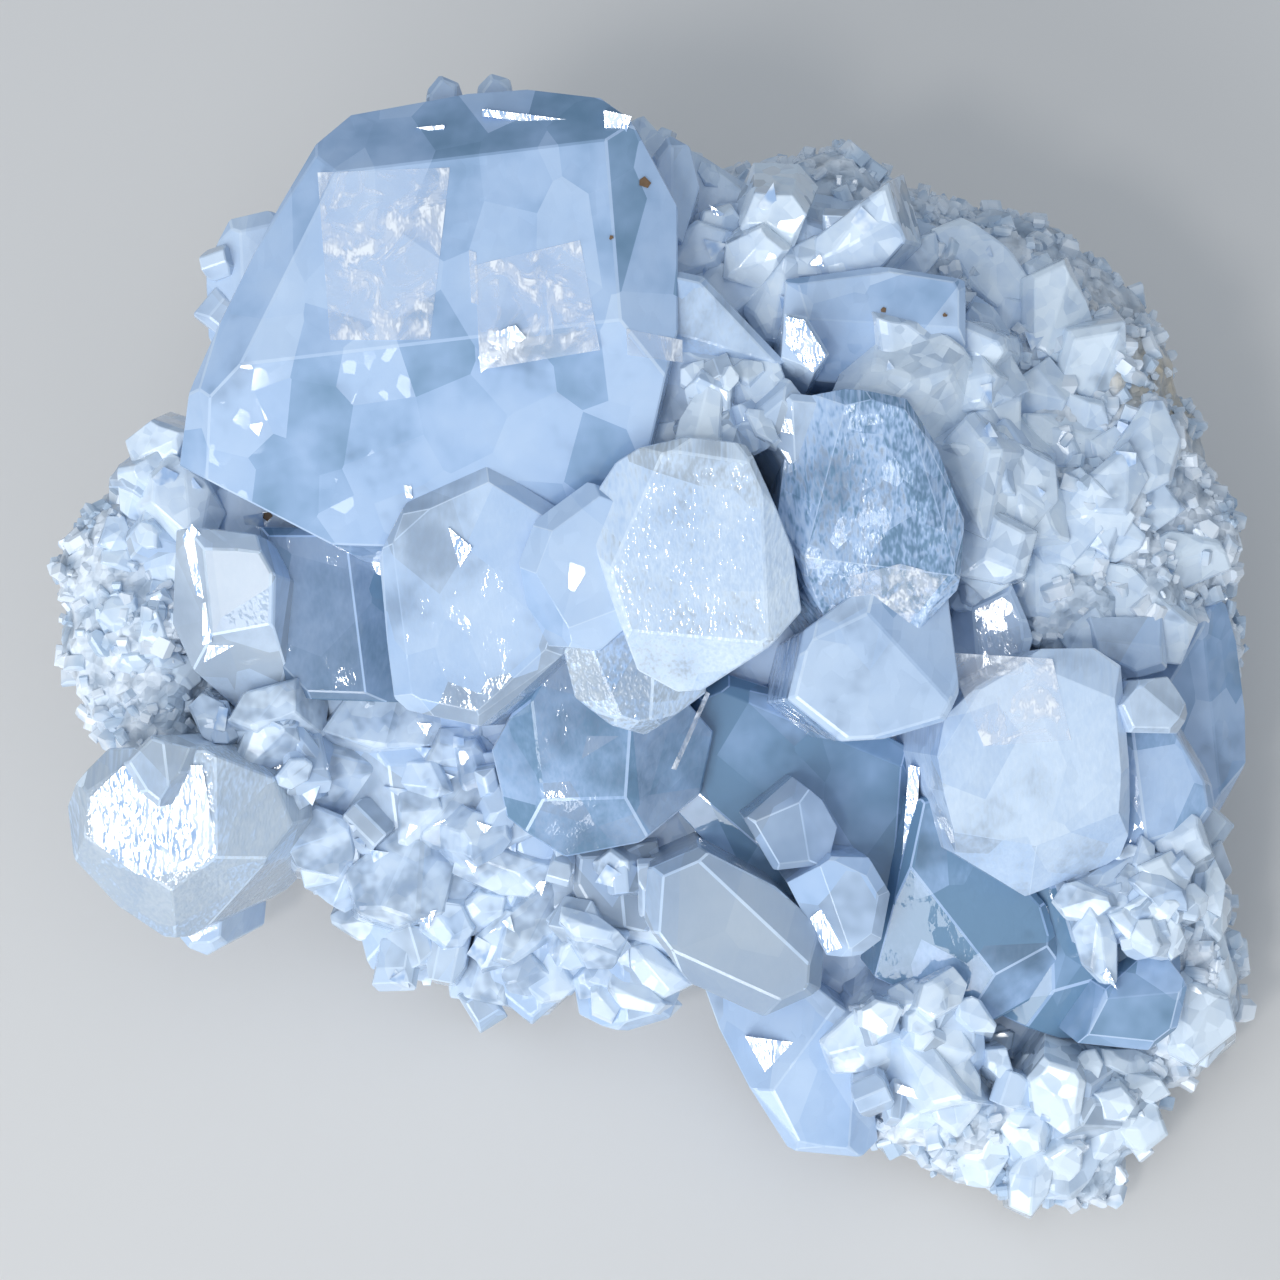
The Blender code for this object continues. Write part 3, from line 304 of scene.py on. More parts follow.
        outline=[(-37.8, -21.5), (-37, -23.6), (-35.3, -25.6), (-33.2, -24.4), (-32.8, -20), (-36, -19)],
        w=-4, rise=(0, 0), bevel=0.6, depth=6, facets=[]),
    "left bank": dict(
        outline=[(-34.5, -6), (-30, -6.4), (-27.2, -5.6), (-25.4, -9), (-26, -12.8), (-29.5, -13.6),
                 (-34, -10)],
        w=0.8, rise=(0, 0), bevel=0.8, depth=15, facets=[((-30, -6.8), (-29, -13), 22)]),
    "grey left": dict(
        outline=[(-27.4, -5.6), (-20, -5), (-12.6, -6.8), (-12, -10), (-14.2, -16), (-21, -17),
                 (-25.6, -13.2)],
        w=-1.6, rise=(0, 0.08), bevel=0.8, depth=13,
        facets=[((-20.6, -6), (-19.4, -15.6), 22), ((-25, -9.6), (-14, -10.4), 16)]),
    "lower left": dict(
        outline=[(-25, -16.6), (-20, -13.6), (-14.4, -16.6), (-13.2, -24), (-17.6, -28.2), (-22, -26.8)],
        w=-4.6, rise=(0, 0.1), bevel=0.9, depth=9,
        facets=[((-19.6, -14.6), (-18.4, -27), 24), ((-23.6, -22.6), (-14.4, -22.2), 24)]),
    "lower middle": dict(
        outline=[(-13.6, -18.6), (-8, -16.4), (-3.8, -20), (-4.4, -27), (-8.6, -30.8), (-12.7, -27.4)],
        w=-4, rise=(0, 0.12), bevel=0.8, depth=9, facets=[((-8.4, -17.6), (-8, -29.6), 26)]),
    "lower edge": dict(
        outline=[(-6, -24.6), (0, -23.4), (3.6, -27.4), (2.4, -30.6), (-1, -31.6), (-5, -30.4)],
        w=-3.4, rise=(0, 0.1), bevel=0.7, depth=8, facets=[((-1.6, -24.6), (-1, -31), 24)]),
    "step": dict(
        outline=[(-14, -9.2), (-10, -8.6), (-6, -13), (-5.4, -18), (-11, -19.4), (-14.6, -15)],
        w=-0.6, rise=(0, 0.06), bevel=0.7, depth=12, facets=[((-11.4, -10), (-9, -18.6), 24)]),
    "back left": dict(
        outline=[(-35.2, 29.6), (-33, 33.9), (-30, 34.6), (-27, 33.5), (-28, 27), (-32.6, 21),
                 (-35, 24.6)],
        w=-4, rise=(0, 0), bevel=1.1, depth=9, facets=[((-32, 33), (-31.6, 24), 24)]),
    "left shoulder": dict(
        outline=[(-40.7, 14.8), (-38, 17.1), (-35, 17.3), (-33, 11), (-36, 8.6), (-40.5, 9.6)],
        w=-2.4, rise=(0, 0), bevel=0.8, depth=9, facets=[((-38.6, 16), (-37.6, 9.6), 24)]),
    "behind broad": dict(
        outline=[(-3, 41.2), (2, 41.1), (5.4, 38.9), (10.4, 37), (12, 33), (6, 30), (-2, 30)],
        w=-1, rise=(0, -0.05), bevel=0.7, depth=15,
        facets=[((3, 40), (4, 31), 18), ((4, 37.2), (11, 34.8), 24)]),
    "spur": dict(
        outline=[(1, 38.6), (2.4, 40.4), (4, 39.5), (4.8, 36.6), (3.4, 31.6), (0, 33)],
        w=4.4, rise=(0, -0.1), bevel=0.4, depth=14, facets=[((2.6, 39.6), (2.6, 33), 28)]),
    "tip one": dict(
        outline=[(-17, 44), (-16, 45.1), (-14.4, 44.4), (-14.6, 41), (-17, 41)],
        w=-1.5, rise=(0, 0), bevel=0.3, depth=9, facets=[]),
    "tip two": dict(
        outline=[(-13, 44.4), (-11.8, 45.3), (-10.4, 44.9), (-9.6, 41), (-13, 41)],
        w=-1, rise=(0, 0), bevel=0.3, depth=9, facets=[]),
    "small blue": dict(
        outline=[(25.9, 25.8), (27, 27.9), (28.4, 26.6), (30, 24), (29, 22), (26.4, 23.4)],
        w=-0.6, rise=(-0.1, -0.1), bevel=0.4, depth=12, facets=[((27, 27), (28, 23), 26)]),
    "upper bank": dict(
        outline=[(10, 36.8), (18, 35.6), (27, 32.4), (31, 28), (28, 22), (18, 26), (9, 30)],
        w=-3.6, rise=(-0.02, -0.1), bevel=1.4, depth=11,
        facets=[((14, 35.4), (16, 27), 16), ((22, 33), (23, 24), 18)]),
}

commonBase = dict(
    outline=[(-30, 28), (-16, 38), (8, 34), (24, 28), (33, 16), (39, 2), (43, -14), (42, -28),
             (32, -38), (14, -37), (0, -27), (-12, -24), (-24, -20), (-36, -12), (-38, 4), (-36, 18)],
    w=-2.4, rise=(0.0, 0.0), bevel=4.0, depth=8,
    facets=[((-20, 30), (-36, 0), 9), ((-20, -18), (10, -30), 8)])

crystalBanks = [
    dict(at=(-31, -8, 0.5), reach=(4.5, 3), tilt=(0.0, 0.0), count=5, size=(1.6, 2.6)),
    dict(at=(-19, -19, -5), reach=(6, 7), tilt=(0.0, 0.1), count=7, size=(2.0, 3.4)),
    dict(at=(-7, -24, -5.5), reach=(7, 6), tilt=(0.0, 0.1), count=8, size=(1.8, 3.2)),
    dict(at=(-2, -19.5, 0.2), reach=(5, 4), tilt=(0.0, 0.1), count=5, size=(1.4, 2.4)),
    dict(at=(-10, -12, 0.5), reach=(4, 5), tilt=(0.1, 0.05), count=3, size=(1.4, 2.4)),
    dict(at=(22, -33, 3), reach=(5, 4), tilt=(0.0, 0.05), count=5, size=(1.6, 2.6)),
    dict(at=(38, -22, 4), reach=(5, 3), tilt=(-0.05, 0.0), count=4, size=(1.4, 2.4)),
    dict(at=(33, -35, 1.2), reach=(4, 3), tilt=(0.0, 0.05), count=4, size=(1.6, 2.8)),
    dict(at=(7, 19, 9), reach=(4, 3.5), tilt=(0.0, 0.0), count=5, size=(1.4, 2.4)),
    dict(at=(12, 32, 2.6), reach=(8, 2.5), tilt=(-0.1, -0.1), count=5, size=(1.4, 2.6)),
    dict(at=(22, 22, 3.6), reach=(5, 3), tilt=(-0.1, -0.05), count=4, size=(1.4, 2.4)),
    dict(at=(29, 12, 3), reach=(3, 6), tilt=(-0.1, -0.05), count=4, size=(1.6, 2.6)),
    dict(at=(-38, 12, -3.5), reach=(3, 4), tilt=(0.0, 0.0), count=3, size=(1.6, 2.6)),
    dict(at=(-31, 27, -5.5), reach=(3, 5), tilt=(0.0, -0.1), count=4, size=(1.6, 2.8)),
    dict(at=(44, -18, 0), reach=(2.5, 5), tilt=(-0.2, 0.0), count=3, size=(1.6, 2.6)),
    dict(at=(0, 37, -2), reach=(6, 3), tilt=(0.0, -0.1), count=2, size=(1.6, 2.6)),
]

crystalHabits = [
    dict(half=(1.0, 0.72, 0.5), forms={(0, 1, 1): 0.82, (1, 0, 2): 0.8}),
    dict(half=(0.8, 1.0, 0.62), forms={(0, 1, 1): 0.76, (2, 1, 0): 0.8}),
    dict(half=(0.62, 0.7, 1.25), forms={(0, 1, 1): 0.72, (2, 1, 0): 0.84}),
]

# How each crystal looks: milk is how cloudy it is, tone how blue (near 1 also darker, partly as painted
# shade), rough how frosted and streak how strongly it is striated, from 0 to 1
crystalLooks = {
    "broad": dict(milk=0.62, tone=0.76, rough=0.06, streak=0.0),
    "clear left": dict(milk=0.16, tone=0.30, rough=0.02, streak=0.1),
    "dark pane": dict(milk=0.10, tone=0.95, rough=0.04, streak=0.1),
    "middle left": dict(milk=0.36, tone=0.55, rough=0.05, streak=0.1),
    "round": dict(milk=0.50, tone=0.66, rough=0.12, streak=0.0),
    "pale middle": dict(milk=0.42, tone=0.30, rough=0.06, streak=0.7),
    "small striped": dict(milk=0.22, tone=0.40, rough=0.02, streak=1.0),
    "grey middle": dict(milk=0.26, tone=0.85, rough=0.10, streak=0.2),
    "cleaved": dict(milk=0.45, tone=0.80, rough=0.45, streak=1.0),
    "smooth lower": dict(milk=0.60, tone=0.66, rough=0.14, streak=0.0),
    "deep pane": dict(milk=0.55, tone=1.0, rough=0.02, streak=0.0),
    "perched one": dict(milk=0.18, tone=0.55, rough=0.02, streak=0.0),
    "perched two": dict(milk=0.40, tone=0.60, rough=0.05, streak=0.0),
    "blue flat": dict(milk=0.50, tone=1.0, rough=0.08, streak=0.1),
    "tabular": dict(milk=0.50, tone=0.45, rough=0.10, streak=0.3),
    "tabular tip": dict(milk=0.34, tone=0.42, rough=0.04, streak=0.1),
    "tabular side": dict(milk=0.50, tone=0.75, rough=0.12, streak=0.1),
    "right rim": dict(milk=0.55, tone=0.72, rough=0.14, streak=0.0),
    "mirror": dict(milk=0.14, tone=0.18, rough=0.02, streak=0.8),
    "mirror notch": dict(milk=0.25, tone=0.25, rough=0.02, streak=0.2),
    "long clear": dict(milk=0.12, tone=0.45, rough=0.02, streak=0.1),
    "round clear": dict(milk=0.16, tone=0.35, rough=0.04, streak=0.0),
    "lower front": dict(milk=0.50, tone=0.60, rough=0.12, streak=0.0),
    "blue right": dict(milk=0.50, tone=0.95, rough=0.06, streak=0.0),
    "blue right low": dict(milk=0.45, tone=0.90, rough=0.04, streak=0.0),
    "upper facet": dict(milk=0.50, tone=0.62, rough=0.15, streak=0.3),
    "upper smooth": dict(milk=0.60, tone=0.66, rough=0.14, streak=0.0),
    "upper rough": dict(milk=0.55, tone=0.45, rough=0.50, streak=0.4),
    "upper right rough": dict(milk=0.65, tone=0.35, rough=0.50, streak=0.2),
    "upper bank": dict(milk=0.75, tone=0.30, rough=0.40, streak=0.0),
    "sparkle bank": dict(milk=0.50, tone=0.42, rough=0.30, streak=0.0),
    "behind broad": dict(milk=0.55, tone=0.40, rough=0.20, streak=0.2),
    "pale right": dict(milk=0.70, tone=0.25, rough=0.35, streak=0.2),
    "frosted right": dict(milk=0.75, tone=0.15, rough=0.45, streak=0.0),
    "corner": dict(milk=0.60, tone=0.25, rough=0.35, streak=0.0),
    "base": dict(milk=0.60, tone=0.55, rough=0.30, streak=0.0),
}
plainLook = dict(milk=0.42, tone=0.50, rough=0.12, streak=0.1)
smallLook = dict(milk=0.34, tone=0.38, rough=0.05, streak=0.0)
paintedEdgeHighlight = dict(milk=0.9, tone=0.1)  # what a chamfer's look tends to, a painted edge highlight
edgeHighlightShare = (0.0, 0.5)  # how far it gets there
lookSpread = dict(milk=0.08, tone=0.10, rough=0.02, streak=0.05)  # how much each facet differs


def setLook(piece, look, chance):
    for name, value in look.items():
        layer = piece.data.attributes.new(name, "FLOAT", "FACE")
        for item in layer.data:
            spread = lookSpread[name] * chance.uniform(-1, 1)
            item.value = min(1, max(0, value + (spread if value else 0)))


def finishCrystal(name, look, wornEdge, chance):
    bpy.ops.mesh.select_all(action="SELECT")
    bpy.ops.mesh.remove_doubles(threshold=wornEdge)
    closeEditing()
    bpy.ops.object.transform_apply(location=True, rotation=True, scale=True)
    crystal = bpy.context.object
    crystal.name = name
    setLook(crystal, look, chance)
    openness = crystal.data.attributes.new("open", "FLOAT", "FACE")
    for item in openness.data:
        item.value = float(name in openCrystals)
    openForEditing(crystal)
    bpy.ops.mesh.bevel(offset=wornEdge, segments=1, affect="EDGES", clamp_overlap=True)
    closeEditing()
    points = [vertex.co for vertex in crystal.data.vertices]
    for face in crystal.data.polygons:
        around = list(face.vertices)
        rim = sum((points[a] - points[b]).length for a, b in zip(around, around[1:] + around[:1]))
        # the narrow chamfer faces are painted paler and milkier as an edge highlight
        if face.area < rim * wornEdge:
            for layer, value in paintedEdgeHighlight.items():
                item = crystal.data.attributes[layer].data[face.index]
                item.value += (value - item.value) * chance.uniform(*edgeHighlightShare)
    openForEditing(crystal)
    bpy.ops.mesh.normals_make_consistent(inside=False)
    closeEditing()
    return crystal


def largeCrystal(name, spec, chance, looks):
    outline = spec["outline"]
    middleU = sum(u for u, v in outline) / len(outline)
    middleV = sum(v for u, v in outline) / len(outline)
    facePoint = spot(middleU, middleV, spec["w"])
    facing = (out - right * spec["rise"][0] - up * spec["rise"][1]).normalized()
    root = spot(*slope["root"])
    drop = spec.get("drop", modelling["drop"])

    def onFace(u, v, under=0.0):
        ray = spot(u, v, 0) - eye
        return eye + ray * (((facePoint - eye).dot(facing) - under) / ray.dot(facing))

    def fallsFrom(start, end):
        outward = facing.cross(end - start).normalized()
        return -outward if outward.dot(facePoint - start) > 0 else outward

    deselectAll()
    bpy.ops.mesh.primitive_cube_add(size=modelling["block"], location=facePoint)
    openForEditing(bpy.context.object)
    cutAway(facePoint, facing)
    cutAway(facePoint - out * spec["depth"], -out)
    for number, (u, v) in enumerate(outline):
        nextU, nextV = outline[(number + 1) % len(outline)]
        rim = onFace(u, v, drop)
        side = (onFace(nextU, nextV, drop) - rim).cross(root - rim).normalized()
        if side.dot(facePoint - rim) > 0:
            side.negate()
        cutAway(rim, side)
        start = onFace(u, v)
        outward = fallsFrom(start, onFace(nextU, nextV))
        width = spec["bevel"] * chance.uniform(*modelling["bevelShare"])
        fall = math.radians(chance.uniform(*modelling["bevelFall"]))
        cutAway(start - outward * width, facing * math.cos(fall) + outward * math.sin(fall))
    for start, end, fall in spec["facets"]:
        start = onFace(*start)
        outward = fallsFrom(start, onFace(*end))
        fall = math.radians(fall)
        cutAway(start, facing * math.cos(fall) + outward * math.sin(fall))
    for number in range(looks.randint(*modelling["nicks"])):
        corner = onFace(*looks.choice(outline))
        outward = (corner - facePoint).normalized()
        inward = outward * spec["bevel"] * looks.uniform(*modelling["nickWidth"])
        fall = math.radians(looks.uniform(*modelling["nickFall"]))
        cutAway(corner - inward, facing * math.cos(fall) + outward * math.sin(fall))
    return finishCrystal(name, crystalLooks.get(name, plainLook), modelling["wornEdge"], looks)


def smallCrystal(half, forms, chance):
    bpy.ops.mesh.primitive_cube_add(size=2.0, location=(0, 0, 0))
    openForEditing(bpy.context.object)
    bpy.ops.transform.resize(value=half)
    for indices, share in forms.items():
        for signs in range(8):
            ways = [1 if signs & (1 << axis) else -1 for axis in range(3)]
            if any(index == 0 and way < 0 for index, way in zip(indices, ways)):
                continue
            parts = [way * index / axis for way, index, axis in zip(ways, indices, modelling["axes"])]
            normal = Vector(parts).normalized()
            reach = sum(abs(part) * size for part, size in zip(normal, half))
            cutAway(normal * reach * share * chance.uniform(*modelling["formSpread"]), normal)


def bankCrystals(chance, looks):
    made = []
    for bank in crystalBanks:
        for number in range(bank["count"]):
            habit = chance.choice(crystalHabits)
            deselectAll()
            smallCrystal(habit["half"], habit["forms"], chance)
            offU = chance.uniform(-1, 1) * bank["reach"][0]
            offV = chance.uniform(-1, 1) * bank["reach"][1]
            rise = bank["tilt"][0] * offU + bank["tilt"][1] * offV
            u, v, w = bank["at"]
            turn = Matrix.Rotation(chance.uniform(0, math.tau), 4, out)
            angle = chance.uniform(*modelling["lean"])
            lean = Matrix.Rotation(angle, 4, Vector((chance.gauss(0, 1), chance.gauss(0, 1), 0.1)))
            size = Matrix.Scale(chance.uniform(*bank["size"]), 4)
            crystal = finishCrystal("small crystal", smallLook, modelling["smallWornEdge"], looks)
            place = Matrix.Translation(spot(u + offU, v + offV, w + rise))
            crystal.data.transform(place @ turn @ lean @ size)
            made.append(crystal)
    return made


def mendSeams(piece):
    # edges with three faces go, and the gaps that they leave are filled
    closest = modelling["closest"]
    openForEditing(piece)
    bpy.ops.mesh.select_mode(type="EDGE")
    bpy.ops.mesh.remove_doubles(threshold=closest)
    bpy.ops.mesh.dissolve_degenerate(threshold=closest)
    bpy.ops.mesh.select_all(action="DESELECT")
    faulty = dict(
        extend=False, use_wire=True, use_multi_face=True, use_non_contiguous=False, use_verts=False)
    bpy.ops.mesh.select_non_manifold(use_boundary=False, **faulty)
    bpy.ops.mesh.delete(type="EDGE")
    bpy.ops.mesh.select_non_manifold(use_boundary=True, **faulty)
    bpy.ops.mesh.fill_holes(sides=0)
    bpy.ops.mesh.select_all(action="SELECT")
    bpy.ops.mesh.delete_loose()
    bpy.ops.mesh.select_mode(type="FACE")
    bpy.ops.mesh.select_all(action="SELECT")
    bpy.ops.mesh.normals_make_consistent(inside=False)
    closeEditing()


def growCrystals():
    looks = random.Random(modelling["lookSeed"])
    base = largeCrystal("base", commonBase, random.Random(slope["seed"]), looks)
    chance = random.Random(slope["seed"])
    group = bpy.data.collections.new("grown together")
    bpy.context.scene.collection.children.link(group)
    grown = [largeCrystal(name, spec, chance, looks) for name, spec in largeCrystals.items()]
    print("large crystals", len(grown))
    grown += bankCrystals(chance, looks)
    print("with small crystals", len(grown))
    for crystal in grown:
        for holder in list(crystal.users_collection):
            holder.objects.unlink(crystal)
        group.objects.link(crystal)
    applyModifier(base, "BOOLEAN", operation="UNION", operand_type="COLLECTION", collection=group)
    for crystal in grown:
        bpy.data.objects.remove(crystal, do_unlink=True)
    bpy.data.collections.remove(group)
    deselectAll()
    block = modelling["block"]
    bpy.ops.mesh.primitive_cube_add(size=block, location=(0, 0, modelling["lowest"] - block / 2))
    surface = bpy.context.object
    applyModifier(base, "BOOLEAN", operation="DIFFERENCE", object=surface)
    bpy.data.objects.remove(surface, do_unlink=True)
    mendSeams(base)
    base.name = "celestiteCrystals"
    print("crystals joined", len(base.data.polygons), "faces")
    return base


# The matrix

matrixLumps = [
    (9.5, 32.6, -12, 6), (15.5, 32, -12, 6.8), (21, 29.3, -12, 6.6), (26.3, 26.6, -11.5, 6.8),
    (31, 23.2, -11, 7), (35.4, 19.4, -10.5, 7.2), (38.3, 13.6, -10, 7.6), (40.2, 7.5, -9.5, 8),
    (41.2, 1.2, -11, 7), (32, 17, -6.5, 6), (35, 9.6, -5.4, 7), (34, 3, -2.8, 4.7),
    (40.6, 3.5, -2.6, 3.2), (28.5, 20, -6.5, 5.4), (38.6, 15.6, -6.6, 5), (42.8, 9, -7.4, 4.6),
    (24, 29, -7.5, 4.6), (-40.3, 4.6, -8.5, 5.6), (-41.2, 7, -7.5, 3.8), (-40.7, 0.2, -8.5, 5.2),
    (-39.4, -3.6, -8, 4.8), (-38, -6.8, -6.5, 4.4), (-37.5, 8, -8.5, 4.4), (-41.2, -2.6, -7, 3.6),
    (-39, 2, -5.6, 4.2), (42.6, -20.5, -6.5, 4.8), (43, -27, -5.5, 5.2), (42.2, -31.4, -4.2, 4),
    (38, -35.6, -2.8, 4.2), (33, -38.6, -2.4, 4.2), (27, -38.6, -2.4, 4.2), (22.5, -38, -2.8, 3.8),
    (35.4, -41.2, -3.6, 3.4), (29.6, -42.2, -3, 2.8), (25, -41.4, -3.2, 2.8), (44.4, -24, -3.6, 3.4),
    (-28, 18, -11.5, 5.6), (-23.5, 25, -11.5, 6.2), (-16, 30, -12, 6.4), (-7, 32, -12, 6.4),
    (2, 33, -12, 6), (41, -5, -13.5, 5.2), (40, -12, -12.5, 5.2), (-34, -6, -9, 5),
]

matrixBody = [
    dict(at=(2, 6, -20.5), half=(38, 31, 10.5)),
    dict(at=(26, 12, -17), half=(19, 24, 9.5)),
    dict(at=(31, -24, -8.2), half=(14, 12.5, 4)),
    dict(at=(-28, 6, -15), half=(13, 14, 8)),
    dict(at=(-12, 24, -15), half=(22, 14, 9)),
]

matrixForm = dict(
    foot=dict(at=(3, 3, 3.6), half=(27, 22, 7.4)),  # x, y, z: its cut makes the flat spot
    roughness=[(1.5, 7.0), (0.7, 3.0)],  # how far the surface strays, and over what length
    grain=0.62,  # voxel that the lumps are fused at
    granules=[(0.30, 1.5), (0.16, 0.7)],  # height and width of the granules
    crown=0.6,  # how far a granule's middle rises, and how fast it falls away
    slopeAway=1.5)


def addBall(place, subdivisions):
    deselectAll()
    bpy.ops.mesh.primitive_ico_sphere_add(subdivisions=subdivisions, radius=1.0, location=(0, 0, 0))
    ball = bpy.context.object
    ball.data.transform(place)
    return ball


def growMatrix():
    noise.seed_set(slope["seed"])
    lie = Matrix((right, up, out)).transposed().to_4x4()
    places = [Matrix.Translation(spot(*body["at"])) @ lie @ Matrix.Diagonal((*body["half"], 1))
              for body in matrixBody]
    foot = matrixForm["foot"]
    balls = [addBall(place, 5) for place in places]
    moved = Vector((*slope["moved"], 0))
    footPlace = Matrix.Translation(Vector(foot["at"]) + moved) @ Matrix.Diagonal((*foot["half"], 1))
    balls.append(addBall(footPlace, 5))
    balls += [addBall(Matrix.Translation(spot(u, v, w)) @ Matrix.Scale(radius, 4), 4)
              for u, v, w, radius in matrixLumps]
    deselectAll()
    for ball in balls:
        ball.select_set(True)
    bpy.context.view_layer.objects.active = balls[0]
    bpy.ops.object.join()
    rock = balls[0]
    for vertex in rock.data.vertices:
        smooth = vertex.co - moved
        for height, length in matrixForm["roughness"]:
            vertex.co += height * noise.noise_vector(smooth / length)
    applyModifier(rock, "REMESH", mode="VOXEL", voxel_size=matrixForm["grain"])
    normals = [vertex.normal.copy() for vertex in rock.data.vertices]
    # how far each point lies from a granule's middle, the mask for a painted shade in the hollows between
    # granules
    hollow = rock.data.attributes.new("hollow", "FLOAT", "POINT")
    crown, slopeAway = matrixForm["crown"], matrixForm["slopeAway"]
    total = sum(height for height, width in matrixForm["granules"])
    for vertex, normal, item in zip(rock.data.vertices, normals, hollow.data):
        start = vertex.co.copy()
        for height, width in matrixForm["granules"]:
            distances, _ = noise.voronoi(start / width)
            vertex.co += normal * height * (crown - slopeAway * distances[0])
            item.value += distances[0] * height / total
    openForEditing(rock)
    cutAway((0, 0, 0), (0, 0, -1))
    closeEditing()
    rock.name = "granularMatrix"
    print("matrix", len(rock.data.polygons), "faces")
    return rock


# Crowded crystals fill the ground between the large ones. A bank's row gives its middle u and
# v, half width and height, how many, their smallest and largest half width, how much they lean
# and their look
clearLook = dict(milk=0.30, tone=0.40, rough=0.03, streak=0.0)
paleLook = dict(milk=0.55, tone=0.22, rough=0.12, streak=0.1)
frostedLook = dict(milk=0.72, tone=0.18, rough=0.34, streak=0.2)
whiteLook = dict(milk=0.90, tone=0.04, rough=0.42, streak=0.1)
crowdBanks = [
    dict(at=(-20, -14), reach=(9, 11), count=26, size=(1.8, 5.0), lean=0.35, look=clearLook),
    dict(at=(-9, -20), reach=(8, 10), count=26, size=(1.6, 4.6), lean=0.35, look=clearLook),
    dict(at=(-30, -9), reach=(6, 5), count=14, size=(1.4, 3.6), lean=0.4, look=clearLook),
    dict(at=(0, -26), reach=(7, 5), count=16, size=(1.4, 3.8), lean=0.35, look=paleLook),
    dict(at=(28, 9), reach=(5, 10), count=16, size=(3.0, 6.0), lean=0.35, look=frostedLook),
    dict(at=(20, 22), reach=(9, 5), count=16, size=(2.8, 6.0), lean=0.35, look=frostedLook),
    dict(at=(32, 17), reach=(7, 9), count=30, size=(2.4, 5.4), lean=0.35, look=paleLook),
    dict(at=(38, 9), reach=(5, 10), count=26, size=(1.8, 4.2), lean=0.35, look=paleLook),
    dict(at=(11, 30), reach=(10, 4), count=18, size=(2.2, 4.6), lean=0.3, look=frostedLook),
    dict(at=(26, 26), reach=(8, 5), count=22, size=(2.0, 4.4), lean=0.3, look=paleLook),
    dict(at=(5, 18), reach=(6, 5), count=22, size=(0.9, 2.6), lean=0.4, look=frostedLook),
    dict(at=(38, -21), reach=(6, 4), count=18, size=(1.0, 2.8), lean=0.5, look=clearLook),
    dict(at=(44, -25), reach=(4, 10), count=26, size=(1.2, 3.8), lean=0.45, look=whiteLook),
    dict(at=(33, -37), reach=(8, 7), count=34, size=(1.2, 4.2), lean=0.45, look=whiteLook),
    dict(at=(23, -33), reach=(6, 5), count=22, size=(1.1, 3.2), lean=0.4, look=paleLook),
    dict(at=(-38, 6), reach=(4, 11), count=34, size=(1.0, 3.2), lean=0.5, look=paleLook),
    dict(at=(27, 0), reach=(3, 6), count=12, size=(0.8, 2.0), lean=0.5, look=paleLook),
    dict(at=(0, -12), reach=(9, 6), count=18, size=(1.0, 2.8), lean=0.4, look=clearLook),
    dict(at=(2, 38), reach=(8, 4), count=20, size=(0.9, 2.2), lean=0.4, look=paleLook),
]
openCrystals = [  # the crystals that others crowd on
    "base", "grey left", "lower left", "lower middle", "lower edge", "step", "left bank", "under mirror",
    "upper rough", "upper right rough", "upper bank", "sparkle bank", "pale right", "sparkle front",
    "sparkle right", "frosted right", "corner", "behind broad", "small crystal", "left shoulder",
    "crowd model"]
crowdForm = dict(
    models=16,
    block=3.0,
    sides=(5, 6, 6, 7),
    sideStray=0.25,
    reach=(0.72, 1.05),
    flare=0.10,
    bevelAt=(0.72, 0.92),
    bevelFall=(34, 62),
    facets=(1, 3),
    facetAt=(-0.1, 0.5),
    facetFall=(14, 34),
    tries=3,  # for each crystal that a bank asks for
    mostSmall=1.6,  # above 1, small ones are more common
    spacing=0.62,
    lookStray=1.5,
    upright=0.5,  # how much the ground's slope turns a crystal
    stretch=(0.75, 1.7),
    lift=(0.2, 0.6),
    seeds=(71, 72))  # for the shapes and for the looks


def crowdModel(chance, looks):
    deselectAll()
    block = crowdForm["block"]
    bpy.ops.mesh.primitive_cube_add(size=block, location=(0, 0, -block / 2))
    openForEditing(bpy.context.object)
    sides = chance.choice(crowdForm["sides"])
    stray = crowdForm["sideStray"]
    for side in range(sides):
        angle = (side + chance.uniform(-stray, stray)) * math.tau / sides
        outward = Vector((math.cos(angle), math.sin(angle), 0))
        reach = chance.uniform(*crowdForm["reach"])
        cutAway(outward * reach, (outward + Vector((0, 0, crowdForm["flare"]))).normalized())
        fall = math.radians(chance.uniform(*crowdForm["bevelFall"]))
        rim = outward * reach * chance.uniform(*crowdForm["bevelAt"])
        cutAway(rim, outward * math.sin(fall) + Vector((0, 0, math.cos(fall))))
    for facet in range(chance.randint(*crowdForm["facets"])):
        angle = chance.uniform(0, math.tau)
        outward = Vector((math.cos(angle), math.sin(angle), 0))
        fall = math.radians(chance.uniform(*crowdForm["facetFall"]))
        start = outward * chance.uniform(*crowdForm["facetAt"])
        cutAway(start, outward * math.sin(fall) + Vector((0, 0, math.cos(fall))))
    return finishCrystal("crowd model", clearLook, modelling["smallWornEdge"], looks)


def surfaceOf(*pieces):
    points, faces, openFaces = [], [], []
    for piece in pieces:
        start = len(points)
        points += [vertex.co.copy() for vertex in piece.data.vertices]
        faces += [[start + index for index in face.vertices] for face in piece.data.polygons]
        layer = piece.data.attributes.get("open")
        count = len(piece.data.polygons)
        openFaces += [item.value > 0.5 for item in layer.data] if layer else [True] * count
    return BVHTree.FromPolygons(points, faces), openFaces


def joined(name, pieces):
    deselectAll()
    for piece in pieces:
        piece.select_set(True)
    bpy.context.view_layer.objects.active = pieces[0]
    bpy.ops.object.join()
    pieces[0].name = name
    return pieces[0]


